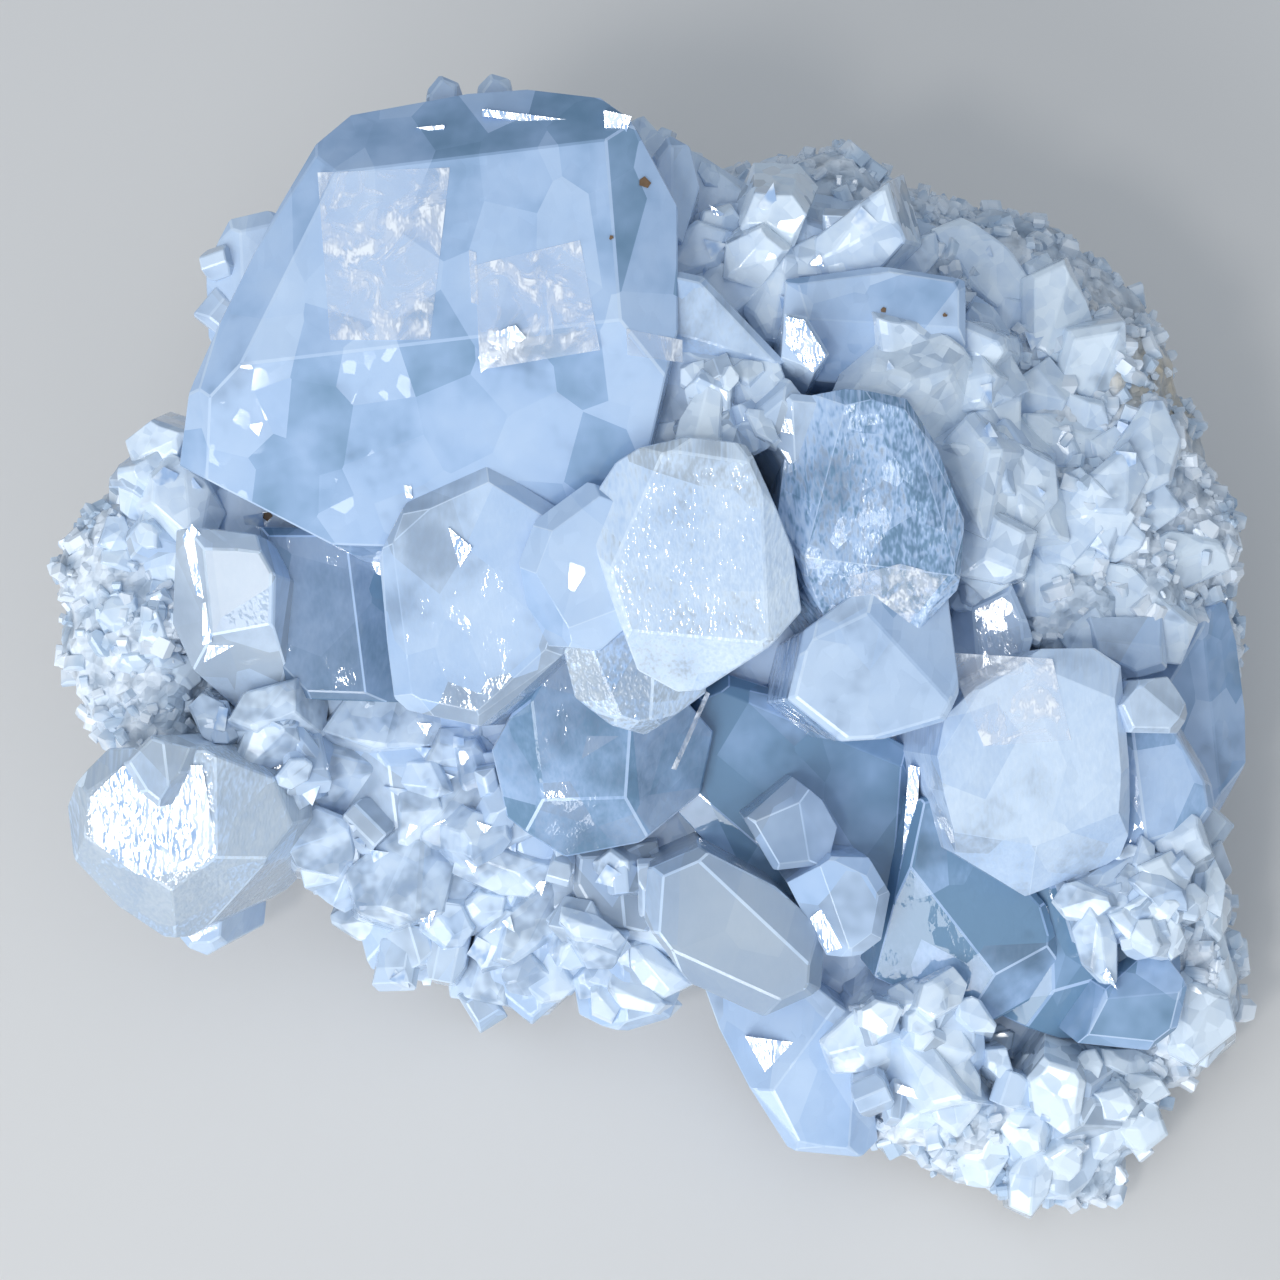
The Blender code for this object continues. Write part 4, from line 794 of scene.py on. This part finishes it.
def growCrowd(crystals, matrix):
    chance, looks = [random.Random(seed) for seed in crowdForm["seeds"]]
    models = [crowdModel(chance, looks) for number in range(crowdForm["models"])]
    tree, isOpen = surfaceOf(crystals, matrix)
    made = []
    for bank in crowdBanks:
        taken = []
        for number in range(bank["count"] * crowdForm["tries"]):
            if len(taken) >= bank["count"]:
                break
            angle, distance = chance.uniform(0, math.tau), math.sqrt(chance.random())
            u = bank["at"][0] + math.cos(angle) * distance * bank["reach"][0]
            v = bank["at"][1] + math.sin(angle) * distance * bank["reach"][1]
            small, large = bank["size"]
            size = small + (large - small) * chance.random() ** crowdForm["mostSmall"]
            if any(math.hypot(u - x, v - y) < crowdForm["spacing"] * (size + r) for x, y, r in taken):
                continue
            hit, normal, face, _ = tree.ray_cast(eye, (spot(u, v, 0) - eye).normalized())
            if hit is None or not isOpen[face]:
                continue
            mesh = chance.choice(models).data.copy()
            stray = crowdForm["lookStray"]
            for name, value in bank["look"].items():
                shade = value + lookSpread[name] * chance.uniform(-stray, stray)
                for item in mesh.attributes[name].data:
                    item.value = min(1, max(0, shade + lookSpread[name] * chance.uniform(-1, 1)))
            sideways = Vector((chance.gauss(0, 1), chance.gauss(0, 1), 0)).normalized()
            direction = (out + normal * crowdForm["upright"]).normalized()
            stand = direction.to_track_quat("Z", "Y").to_matrix().to_4x4()
            lean = Matrix.Rotation(chance.uniform(0, bank["lean"]), 4, sideways)
            turn = Matrix.Rotation(chance.uniform(0, math.tau), 4, "Z")
            tip = hit + direction * size * chance.uniform(*crowdForm["lift"])
            stretch = chance.uniform(*crowdForm["stretch"])
            sizes = Matrix.Diagonal((size * stretch, size / math.sqrt(stretch), size, 1))
            mesh.transform(Matrix.Translation(tip) @ stand @ lean @ turn @ sizes)
            if min(vertex.co.z for vertex in mesh.vertices) < modelling["lowest"]:
                continue
            taken.append((u, v, size))
            made.append(bpy.data.objects.new("crowded crystal", mesh))
            bpy.context.scene.collection.objects.link(made[-1])
    for model in models:
        bpy.data.objects.remove(model, do_unlink=True)
    print("crowded crystals", len(made))
    return joined("crowdedCrystals", made)


# Marks on the crystals as the eye sees them, with u and v for each corner. Growth facets are
# turned to mirror the key lamp to the camera
growthFacets = [
    [(-44.0, -12.6), (-41.4, -10.1), (-35.0, -10.0), (-33.9, -17.0), (-37.5, -19.7), (-40.5, -18.6),
     (-43.8, -16.0)],
    [(-23.3, 6.5), (-19.3, 7.0), (-20.5, 5.0)],
    [(-15.3, 9.0), (-13.4, 7.4), (-14.4, 5.8)],
    [(-36.6, 8.3), (-35.9, 9.3), (-34.9, 8.2), (-34.9, 3.3), (-35.5, 3.6)],
    [(-35.0, 3.0), (-34.1, 3.0), (-34.3, -0.2), (-35.0, -0.4)],
    [(-34.5, -0.2), (-31.3, 0.2), (-34.9, -1.8)],
    [(-12.7, 21.4), (-9.1, 24.2), (-10.0, 25.2), (-13.2, 24.0)],
    [(11.7, 25.9), (13.1, 25.6), (14.9, 22.8), (13.8, 21.4), (11.7, 23.5)],
    [(13.4, 30.0), (14.4, 30.9), (14.7, 29.9)],
    [(13.6, -22.3), (15.2, -20.8), (16.5, -24.5), (15.0, -25.0)],
    [(8.4, -31.7), (13.2, -32.3), (10.7, -35.9)],
    [(36.4, -26.4), (37.3, -26.0), (38.2, -28.0)],
    [(21.5, -10.0), (22.4, -10.2), (21.9, -18.5), (20.9, -18.3)],
    [(20.3, -35.4), (23.3, -36.4), (23.2, -37.0), (20.4, -36.2)],
    [(-13.1, -14.5), (-11.9, -14.9), (-12.6, -15.8)],
    [(-14.0, -17.6), (-12.9, -17.7), (-13.3, -18.8)],
    [(-17.9, -21.9), (-16.3, -21.6), (-16.9, -23.1)],
    [(-8.7, -19.2), (-7.5, -19.3), (-7.9, -20.5)],
    [(-18.0, -6.6), (-16.7, -6.7), (-17.1, -7.7)],
    [(-12.6, 42.5), (-3.9, 41.4), (-4.0, 40.9), (-12.6, 41.9)],
    [(-17.9, 41.0), (-15.6, 41.2), (-15.8, 40.5)],
    [(-2.9, 42.4), (-0.7, 41.9), (-1.4, 39.6), (-2.8, 40.3)],
    [(-18.9, 12.4), (-18.3, 12.3), (-18.2, 11.3), (-18.7, 11.4)]]
cloudyFractures = [
    [(-25.8, 37.4), (-15.2, 37.8), (-16.8, 24.0), (-24.8, 24.0)],
    [(-13.2, 30.0), (-4.8, 32.0), (-3.2, 23.2), (-12.8, 21.6)],
    [(-13.7, 31.2), (-13.1, 31.0), (-12.9, 26.8), (-13.5, 27.0)],
    [(-1.1, 24.9), (3.4, 24.0), (3.4, 22.2), (-1.0, 22.8)],
    [(16.8, 5.1), (20.8, 6.1), (24.6, 5.1), (20.4, -0.1), (17.0, 0.3)],
    [(24.5, -1.0), (33.0, -1.5), (34.5, -8.0), (27.5, -8.5)],
    [(5.3, -4.1), (5.6, -4.3), (2.9, -10.4), (2.5, -10.3)],
    [(8.6, -4.9), (15.7, -7.7), (15.6, -8.1), (8.6, -5.2)]]
# u, v, radius
specks = [(0.4, 36.6, 0.5), (-29.8, 9.9, 0.4), (19.5, 26.4, 0.25), (24.4, 26.0, 0.2), (-2.3, 32.2, 0.2)]
markForm = dict(
    block=30.0,
    bright=dict(lift=0.12, depth=1.4),
    cloudy=dict(lift=0.05, depth=0.15),
    speck=dict(lift=0.10, depth=0.4),
    corners=5,
    cornerStray=0.3,
    sparks=150,  # tries at a small facet anywhere on the open ground
    sparkSize=(0.35, 1.3),
    sparkCorners=(3, 3, 4),
    sparkTurn=0.22,
    sparkReach=(44, 42),
    seed=31)


def cutPlate(corners, tree, form, facing=None):
    centre = [sum(values) / len(corners) for values in zip(*corners)]
    point, normal, _, _ = tree.ray_cast(eye, (spot(*centre, 0) - eye).normalized())
    if point is None:
        return None
    facing = facing or normal
    deselectAll()
    bpy.ops.mesh.primitive_cube_add(size=markForm["block"], location=point)
    openForEditing(bpy.context.object)
    cutAway(point + facing * form["lift"], facing)
    cutAway(point - facing * form["depth"], -facing)
    for start, end in zip(corners, corners[1:] + corners[:1]):
        start, end = spot(*start, 0) - eye, spot(*end, 0) - eye
        side = start.cross(end).normalized()
        if side.dot(point - eye) > 0:
            side.negate()
        cutAway(eye, side)
    bpy.ops.mesh.select_all(action="SELECT")
    bpy.ops.mesh.normals_make_consistent(inside=False)
    closeEditing()
    bpy.ops.object.transform_apply(location=True, rotation=True, scale=True)
    return bpy.context.object


def cutMarks(crystals, crowd, matrix):
    chance = random.Random(markForm["seed"])
    smooth, _ = surfaceOf(crystals)
    everything, isOpen = surfaceOf(crystals, crowd)
    key = onSlope(*studio["key"]["at"])
    stray = markForm["cornerStray"]

    def ring(u, v, size, corners):
        start = chance.uniform(0, math.tau)
        angles = [start + math.tau * (number + chance.uniform(-stray, stray)) / corners
                  for number in range(corners)]
        return [(u + size * math.cos(angle), v + size * math.sin(angle)) for angle in angles]

    def shiningAt(place):
        return ((eye - place).normalized() + (key - place).normalized()).normalized()

    bright = []
    for corners in growthFacets:
        bright.append(cutPlate(corners, everything, markForm["bright"], shiningAt(spot(*corners[0], 0))))
    wide, high = markForm["sparkReach"]
    for number in range(markForm["sparks"]):
        u, v = chance.uniform(-wide, wide), chance.uniform(-high, high)
        place = spot(u, v, 0)
        hit, _, face, _ = everything.ray_cast(eye, (place - eye).normalized())
        if hit is None or not isOpen[face]:
            continue
        strayed = shiningAt(place) + Vector([chance.gauss(0, markForm["sparkTurn"]) for axis in range(3)])
        corners = ring(u, v, chance.uniform(*markForm["sparkSize"]), chance.choice(markForm["sparkCorners"]))
        bright.append(cutPlate(corners, everything, markForm["bright"], strayed.normalized()))
    cloudy = [cutPlate(corners, smooth, markForm["cloudy"]) for corners in cloudyFractures]
    dark = [cutPlate(ring(u, v, size, markForm["corners"]), everything, markForm["speck"])
            for u, v, size in specks]
    print("bright facets", len([plate for plate in bright if plate]))
    return [joined(name, [plate for plate in plates if plate])
            for name, plates in (("growthFacets", bright), ("cloudyFractures", cloudy), ("specks", dark))]


grainForm = dict(
    count=2400,
    size=(0.3, 1.0),
    mostSmall=2,
    lift=0.2,
    lowest=4.0,
    steepest=-0.3,  # ground that faces further down gets none
    tries=3,
    seed=90)


def growGrains(crystals, matrix):
    chance = random.Random(grainForm["seed"])
    models = []
    for habit in crystalHabits:
        deselectAll()
        smallCrystal(habit["half"], habit["forms"], chance)
        closeEditing()
        model = bpy.context.object
        points = [vertex.co.copy() for vertex in model.data.vertices]
        models.append((points, [list(face.vertices) for face in model.data.polygons]))
        bpy.data.objects.remove(model, do_unlink=True)
    tree, _ = surfaceOf(crystals)
    ground = matrix.data.polygons
    points, faces = [], []
    placed = 0
    for number in range(grainForm["count"] * grainForm["tries"]):
        face = ground[chance.randrange(len(ground))]
        centre = face.center
        if centre.z < grainForm["lowest"] or face.normal.z < grainForm["steepest"]:
            continue
        hit, normal, _, _ = tree.ray_cast(centre, face.normal)
        if hit is not None and normal.dot(face.normal) > 0:
            continue
        corners, sides = models[chance.randrange(len(models))]
        axis = Vector((chance.gauss(0, 1), chance.gauss(0, 1), chance.gauss(0, 1))).normalized()
        turn = Matrix.Rotation(chance.uniform(0, math.tau), 3, axis)
        small, large = grainForm["size"]
        size = small + (large - small) * chance.random() ** grainForm["mostSmall"]
        start = len(points)
        lift = grainForm["lift"]
        points += [turn @ corner * size + centre + face.normal * size * lift for corner in corners]
        faces += [[start + index for index in side] for side in sides]
        placed += 1
        if placed == grainForm["count"]:
            break
    mesh = bpy.data.meshes.new("matrixGrains")
    mesh.from_pydata(points, [], faces)
    grains = bpy.data.objects.new("matrixGrains", mesh)
    bpy.context.scene.collection.objects.link(grains)
    print("grains", placed, "with", len(faces), "faces")
    return grains


# Shaders

class Signal:
    def __init__(self, finish, socket):
        self.finish = finish
        self.socket = socket

    def maths(self, operation, *values):
        return self.finish.add("ShaderNodeMath", dict(operation=operation), dict(enumerate(values)))

    def __add__(self, other):
        return self.maths("ADD", self, other)

    def __radd__(self, other):
        return self.maths("ADD", other, self)

    def __sub__(self, other):
        return self.maths("SUBTRACT", self, other)

    def __rsub__(self, other):
        return self.maths("SUBTRACT", other, self)

    def __mul__(self, other):
        return self.maths("MULTIPLY", self, other)

    def __rmul__(self, other):
        return self.maths("MULTIPLY", other, self)

    def between(self, low, high):
        values = {"Value": self, "From Min": low, "From Max": high}
        return self.finish.add("ShaderNodeMapRange", dict(interpolation_type="SMOOTHSTEP"), values)

    def capped(self):
        return self.maths("MINIMUM", self.maths("MAXIMUM", self, 0.0), 1.0)


class Finish:
    def __init__(self, owner):
        self.owner = owner
        owner.use_nodes = True
        self.tree = owner.node_tree
        self.tree.nodes.clear()

    def add(self, kind, settings, values, output=0):
        node = self.tree.nodes.new(kind)
        for name, value in settings.items():
            if name == "stops":
                while len(node.color_ramp.elements) < len(value):
                    node.color_ramp.elements.new(0.5)
                for element, (position, colour) in zip(node.color_ramp.elements, value):
                    element.position = position
                    element.color = (*colour, 1)
            else:
                setattr(node, name, value)
        for name, value in values.items():
            if isinstance(value, Signal):
                self.tree.links.new(value.socket, node.inputs[name])
            elif isinstance(value, tuple) and len(value) == 3 and len(node.inputs[name].default_value) == 4:
                node.inputs[name].default_value = (*value, 1)
            else:
                node.inputs[name].default_value = value
        return Signal(self, node.outputs[output])

    def attribute(self, name):
        return self.add("ShaderNodeAttribute", dict(attribute_name=name), {}, "Fac")

    def place(self):
        return self.add("ShaderNodeTexCoord", {}, {}, "Object")

    def turned(self, place, rotation, scale):
        return self.add("ShaderNodeMapping", {}, dict(Vector=place, Rotation=rotation, Scale=scale))

    def noise(self, place, size, detail, roughness=0.55, distortion=0.0):
        values = dict(Vector=place, Scale=1 / (size * mm), Detail=detail, Roughness=roughness,
                      Distortion=distortion)
        return self.add("ShaderNodeTexNoise", {}, values, "Fac")

    def cells(self, place, size):
        return self.add("ShaderNodeTexVoronoi", {}, dict(Vector=place, Scale=1 / (size * mm)), "Color")

    def cellShare(self, cells):
        return self.add("ShaderNodeSeparateColor", {}, dict(Color=cells))

    def facetedNormal(self, cells, amount, normal=None):
        normal = normal or self.add("ShaderNodeNewGeometry", {}, {}, "Normal")
        centred = self.add("ShaderNodeVectorMath", dict(operation="SUBTRACT"), {0: cells, 1: (0.5, 0.5, 0.5)})
        strayed = self.add("ShaderNodeVectorMath", dict(operation="SCALE"), {0: centred, "Scale": amount})
        summed = self.add("ShaderNodeVectorMath", dict(operation="ADD"), {0: normal, 1: strayed})
        return self.add("ShaderNodeVectorMath", dict(operation="NORMALIZE"), {0: summed})

    def glossy(self, colour, roughness, ior, normal, **more):
        values = {"Base Color": colour, "Roughness": roughness, "IOR": ior, "Normal": normal, **more}
        return self.add("ShaderNodeBsdfPrincipled", dict(distribution="GGX"), values)

    def mixed(self, share, first, second):
        return self.add("ShaderNodeMix", dict(data_type="RGBA"), {0: share, 6: first, 7: second}, 2)

    def bump(self, height, depth, **more):
        return self.add("ShaderNodeBump", {}, dict(Height=height, Distance=depth * mm, Strength=1.0, **more))

    def finishWith(self, surface, kind="ShaderNodeOutputMaterial", **more):
        node = self.tree.nodes.new(kind)
        for name, value in dict(Surface=surface, **more).items():
            self.tree.links.new(value.socket, node.inputs[name])
        return self.owner


def newFinish(name):
    return Finish(bpy.data.materials.new(name))


celestite = dict(
    ior=1.62,
    absorbed=(0.20, 0.60, 0.90),
    density=13.0,
    clearTint=(0.93, 0.97, 1.0),
    deepTint=(0.78, 0.89, 0.98),
    milkPale=(0.74, 0.84, 0.94),
    milkBlue=(0.35, 0.50, 0.74),
    # milkDeepShade is deep blue and partly a painted shade for the dark seen through clear panes
    milkDeepShade=(0.15, 0.27, 0.41),
    blueAt=1.2,  # how soon the blue is full
    deepShadeAt=(0.72, 1.02),  # the shades between which it turns to the deep colour, partly a painted shade
    leastCloud=0.6,
    cloudAt=(0.12, 0.44),  # the milkiness between which a crystal turns all milky
    cloudSize=7.0,
    cloudInMilk=2.2,  # how much clouds, cleavage planes and striae change milk and shade
    planeInMilk=0.3,
    striaeInMilk=0.8,
    cloudInShade=0.5,
    planeInShade=0.24,
    striaeInShade=0.9,
    planeSize=5.0,  # of the cleavage planes inside
    planeLie=((0.4, 0.7, 0.2), (1.0, 0.6, 1.3)),  # turn and scale of their pattern
    planeTurn=0.06,
    chipSize=1.1,
    chipLie=((0.9, 0.3, 0.6), (1.0, 0.5, 1.2)),
    chipTurn=1.1,
    striaeLie=((0.62, 0.2, 0.4), (1.0, 0.05, 1.0)),
    striaeSize=0.32,
    relief=0.08,
    polish=0.03,
    frost=0.4)  # roughness where a crystal is fully rough


def celestiteFinish():
    finish = newFinish("celestite")
    place = finish.place()
    milk, tone, rough, streak = [finish.attribute(name) for name in ("milk", "tone", "rough", "streak")]
    cloud = finish.noise(place, celestite["cloudSize"], detail=3.0, roughness=0.6)
    planes = finish.cells(finish.turned(place, *celestite["planeLie"]), celestite["planeSize"])
    plane = finish.cellShare(planes)
    chips = finish.cells(finish.turned(place, *celestite["chipLie"]), celestite["chipSize"])
    striae = finish.noise(finish.turned(place, *celestite["striaeLie"]), celestite["striaeSize"], detail=1.0)
    fromPlane, fromStriae = plane - 0.5, (striae - 0.5) * streak
    cloudy = (milk + (cloud - 0.5) * celestite["cloudInMilk"] * milk + fromPlane * celestite["planeInMilk"]
              + fromStriae * celestite["striaeInMilk"])
    shade = (tone + (0.5 - cloud) * celestite["cloudInShade"] + fromPlane * celestite["planeInShade"]
             + fromStriae * celestite["striaeInShade"])
    tinted = finish.mixed(shade.capped(), celestite["clearTint"], celestite["deepTint"])
    pale = finish.mixed((shade * celestite["blueAt"]).capped(), celestite["milkPale"], celestite["milkBlue"])
    # the darkest tones turn to milkDeepShade: real deep blue, partly painted shade
    milky = finish.mixed(shade.between(*celestite["deepShadeAt"]), pale, celestite["milkDeepShade"])
    faceted = finish.facetedNormal(planes, celestite["planeTurn"])
    chipped = finish.facetedNormal(chips, rough * celestite["chipTurn"], faceted)
    normal = finish.bump(striae * streak, celestite["relief"], Normal=chipped)
    roughness = celestite["polish"] + rough * celestite["frost"]
    least = celestite["leastCloud"]
    share = cloudy.between(*celestite["cloudAt"]) * (1 - least) + least
    glass = finish.glossy(tinted, roughness, celestite["ior"], normal, **{"Transmission Weight": 1.0})
    milkBody = finish.glossy(milky, roughness, celestite["ior"], normal)
    surface = finish.add("ShaderNodeMixShader", {}, {0: share, 1: glass, 2: milkBody})
    volume = finish.add("ShaderNodeVolumeAbsorption", {}, dict(
        Color=celestite["absorbed"], Density=celestite["density"]))
    return finish.finishWith(surface, Volume=volume)


crowdShades = dict(
    cloudSize=2.6,
    cloudInShade=1.0,
    chipInShade=0.3,
    cloudInMilk=1.4,
    addedMilk=0.1,
    cloudAt=(0.1, 0.5),
    chipSize=1.3,
    chipTurn=0.9,
    leastTurn=0.06,
    frost=0.3,
    ior=1.38)


def crowdFinish():
    finish = newFinish("crowded celestite")
    place = finish.place()
    milk, tone, rough = [finish.attribute(name) for name in ("milk", "tone", "rough")]
    cloud = finish.noise(place, crowdShades["cloudSize"], detail=2.0, roughness=0.65)
    chips = finish.cells(place, crowdShades["chipSize"])
    chip = finish.cellShare(chips)
    shade = tone + (0.5 - cloud) * crowdShades["cloudInShade"] + (chip - 0.5) * crowdShades["chipInShade"]
    milky = finish.mixed(shade.capped(), celestite["milkPale"], celestite["milkBlue"])
    normal = finish.facetedNormal(chips, rough * crowdShades["chipTurn"] + crowdShades["leastTurn"])
    roughness = celestite["polish"] + rough * crowdShades["frost"]
    least = celestite["leastCloud"]
    cloudy = milk + (cloud - 0.5) * crowdShades["cloudInMilk"] + crowdShades["addedMilk"]
    share = cloudy.between(*crowdShades["cloudAt"]) * (1 - least) + least
    glass = finish.glossy(celestite["deepTint"], roughness, crowdShades["ior"], normal,
                          **{"Transmission Weight": 1.0})
    milkBody = finish.glossy(milky, roughness, celestite["ior"], normal)
    return finish.finishWith(finish.add("ShaderNodeMixShader", {}, {0: share, 1: glass, 2: milkBody}))


grainShades = dict(
    pale=(0.78, 0.84, 0.91),
    blue=(0.50, 0.62, 0.76),
    patch=3.0,
    blueAt=(0.4, 0.65),
    roughness=0.2)


def grainFinish():
    finish = newFinish("white grains")
    tint = finish.noise(finish.place(), grainShades["patch"], detail=2.0)
    colour = finish.mixed(tint.between(*grainShades["blueAt"]), grainShades["pale"], grainShades["blue"])
    surface = finish.add("ShaderNodeBsdfPrincipled", {}, {
        "Base Color": colour, "Roughness": grainShades["roughness"], "IOR": celestite["ior"]})
    return finish.finishWith(surface)


matrixShades = dict(
    white=(0.80, 0.86, 0.93),
    shadow=(0.54, 0.65, 0.78),
    # a painted shade: the colour that the hollows between granules are darkened to
    creviceShade=(0.30, 0.38, 0.48),
    patch=8.0,
    shadowAt=(0.42, 0.66),
    creviceShadeAt=(0.35, 0.95),
    stain=(0.70, 0.58, 0.40),
    stainAt=(40, 21, -8),  # u, v, w
    stainReach=(2.0, 12.0),
    stainPatch=(0.35, 0.6),
    stainStrength=0.8,
    chipSize=0.8,
    chipTurn=0.8,
    roughness=0.3,
    ior=1.5)


def matrixFinish():
    finish = newFinish("granular matrix")
    place = finish.place()
    patches = finish.noise(place, matrixShades["patch"], detail=3.0, roughness=0.6)
    base = finish.mixed(
        patches.between(*matrixShades["shadowAt"]), matrixShades["white"], matrixShades["shadow"])
    stainCentre = tuple(spot(*matrixShades["stainAt"]) * mm)
    near = finish.add("ShaderNodeVectorMath", dict(operation="DISTANCE"), {0: place, 1: stainCentre}, "Value")
    stainEdge = near.between(*[length * mm for length in matrixShades["stainReach"]])
    stain = (1 - stainEdge) * patches.between(*matrixShades["stainPatch"]) * matrixShades["stainStrength"]
    stained = finish.mixed(stain, base, matrixShades["stain"])
    # painted shade: darker where a point lies deep in a hollow between granules
    hollow = finish.attribute("hollow")
    deep = finish.mixed(hollow.between(*matrixShades["creviceShadeAt"]), stained, matrixShades["creviceShade"])
    normal = finish.facetedNormal(finish.cells(place, matrixShades["chipSize"]), matrixShades["chipTurn"])
    return finish.finishWith(finish.glossy(deep, matrixShades["roughness"], matrixShades["ior"], normal))


brightShades = dict(
    pale=(0.80, 0.88, 0.96),
    patch=1.5,
    blueAt=(0.35, 0.65),
    waveLie=((0.3, 0.0, 0.25), (1.0, 0.12, 1.0)),
    waveSize=0.6,
    waveRelief=0.06,
    roughness=0.05)


def brightFinish():
    finish = newFinish("bright facets")
    place = finish.place()
    cloud = finish.noise(place, brightShades["patch"], detail=2.0)
    colour = finish.mixed(cloud.between(*brightShades["blueAt"]), brightShades["pale"], celestite["milkBlue"])
    waves = finish.noise(finish.turned(place, *brightShades["waveLie"]), brightShades["waveSize"], detail=1.0)
    normal = finish.bump(waves, brightShades["waveRelief"])
    return finish.finishWith(finish.add("ShaderNodeBsdfPrincipled", {}, {
        "Base Color": colour, "Roughness": brightShades["roughness"], "IOR": celestite["ior"],
        "Normal": normal}))


fractureShades = dict(
    colour=(0.90, 0.94, 1.0),
    roughness=0.12,
    patch=3.2,
    grain=0.7,
    grainLie=((0.3, 0.5, 0.9), (1.0, 0.2, 1.0)),
    least=0.16,  # how much of the crystal it covers where it is thinnest
    veilAt=(0.40, 0.62),
    veil=0.3,
    flakeAt=(0.46, 0.6),
    flakeGrainAt=(0.45, 0.6),
    flakes=0.5)


def fractureFinish():
    finish = newFinish("cloudy fractures")
    place = finish.place()
    patches = finish.noise(place, fractureShades["patch"], detail=3.0, roughness=0.7, distortion=1.0)
    lie = finish.turned(place, *fractureShades["grainLie"])
    fine = finish.noise(lie, fractureShades["grain"], detail=2.0, roughness=0.7)
    veil = patches.between(*fractureShades["veilAt"]) * fractureShades["veil"]
    flakes = patches.between(*fractureShades["flakeAt"]) * fine.between(*fractureShades["flakeGrainAt"])
    cover = fractureShades["least"] + veil + flakes * fractureShades["flakes"]
    return finish.finishWith(finish.add("ShaderNodeBsdfPrincipled", {}, {
        "Base Color": fractureShades["colour"], "Roughness": fractureShades["roughness"],
        "IOR": celestite["ior"], "Alpha": cover}))


speckShades = dict(dark=(0.09, 0.055, 0.03), light=(0.27, 0.165, 0.09), patch=0.5, roughness=0.6)


def speckFinish():
    finish = newFinish("iron stain")
    tint = finish.noise(finish.place(), speckShades["patch"], detail=2.0)
    colour = finish.mixed(tint, speckShades["dark"], speckShades["light"])
    return finish.finishWith(finish.add("ShaderNodeBsdfPrincipled", {}, {
        "Base Color": colour, "Roughness": speckShades["roughness"]}))


# The scene

studio = dict(
    distance=284.5,
    lens=100.0,
    key=dict(at=(-135, -84, 500), size=60, power=0.4, colour=(1.0, 0.99, 0.97)),  # u, v, w
    soft=dict(at=(-260, -330, 450), size=380, power=2.0, colour=(0.96, 0.98, 1.0)),
    sky=(0.86, 0.93, 1.0),
    away=(0.24, 0.30, 0.38),
    skyStrength=0.80,
    skyMiddle=(-0.12, -0.55, 0.83),
    floorSize=3000,
    floorColour=(0.80, 0.775, 0.75),
    floorFleck=90.0,
    fleckShade=0.97,
    floorRoughness=0.8)


def addStudio():
    deselectAll()
    bpy.ops.mesh.primitive_grid_add(x_subdivisions=4, y_subdivisions=4, size=studio["floorSize"] * mm)
    floor = bpy.context.object
    floor.name = "floor"
    finish = newFinish("pale floor")
    fleck = finish.noise(finish.place(), studio["floorFleck"], detail=2.0)
    darker = tuple(studio["fleckShade"] * part for part in studio["floorColour"])
    colour = finish.mixed(fleck, studio["floorColour"], darker)
    surface = finish.add("ShaderNodeBsdfPrincipled", {}, {
        "Base Color": colour, "Roughness": studio["floorRoughness"]})
    floor.data.materials.append(finish.finishWith(surface))
    aim = middle * mm
    for name in ("key", "soft"):
        settings = studio[name]
        light = bpy.data.lights.new(name, "AREA")
        light.size = settings["size"] * mm
        light.energy = settings["power"]
        light.color = settings["colour"]
        lamp = bpy.data.objects.new(name, light)
        bpy.context.scene.collection.objects.link(lamp)
        lamp.location = onSlope(*settings["at"]) * mm
        lamp.rotation_euler = (aim - lamp.location).to_track_quat("-Z", "Y").to_euler()
    sky = Finish(bpy.data.worlds.new("studio"))
    place = sky.add("ShaderNodeTexCoord", {}, {}, "Generated")
    towards = sky.add("ShaderNodeVectorMath", dict(operation="DOT_PRODUCT"),
                      {0: place, 1: studio["skyMiddle"]}, "Value")
    stops = [(0, studio["away"]), (1, studio["sky"])]
    shade = sky.add("ShaderNodeValToRGB", dict(stops=stops), dict(Fac=towards))
    glow = sky.add("ShaderNodeBackground", {}, dict(Color=shade, Strength=studio["skyStrength"]))
    bpy.context.scene.world = sky.finishWith(glow, "ShaderNodeOutputWorld")
    camera = bpy.data.cameras.new("camera")
    camera.lens = studio["lens"]
    camera.clip_start = 0.01
    holder = bpy.data.objects.new("camera", camera)
    bpy.context.scene.collection.objects.link(holder)
    holder.location = aim + out * studio["distance"] * mm
    holder.rotation_euler = (-out).to_track_quat("-Z", "Y").to_euler()
    bpy.context.scene.camera = holder
    bpy.context.scene.view_settings.view_transform = "Standard"


def keep(piece, material, node):
    toMetres(piece)
    piece.data.materials.clear()
    piece.data.materials.append(material)
    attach(piece, "root")
    if node:
        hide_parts(node)


crystals = growCrystals()
matrix = growMatrix()
crowd = growCrowd(crystals, matrix)
grains = growGrains(crystals, matrix)
bright, fractures, dark = cutMarks(crystals, crowd, matrix)
keep(crystals, celestiteFinish(), "crystals")
keep(matrix, matrixFinish(), "matrix")
keep(crowd, crowdFinish(), None)
keep(grains, grainFinish(), None)
keep(bright, brightFinish(), None)
keep(fractures, fractureFinish(), None)
keep(dark, speckFinish(), None)
addStudio()
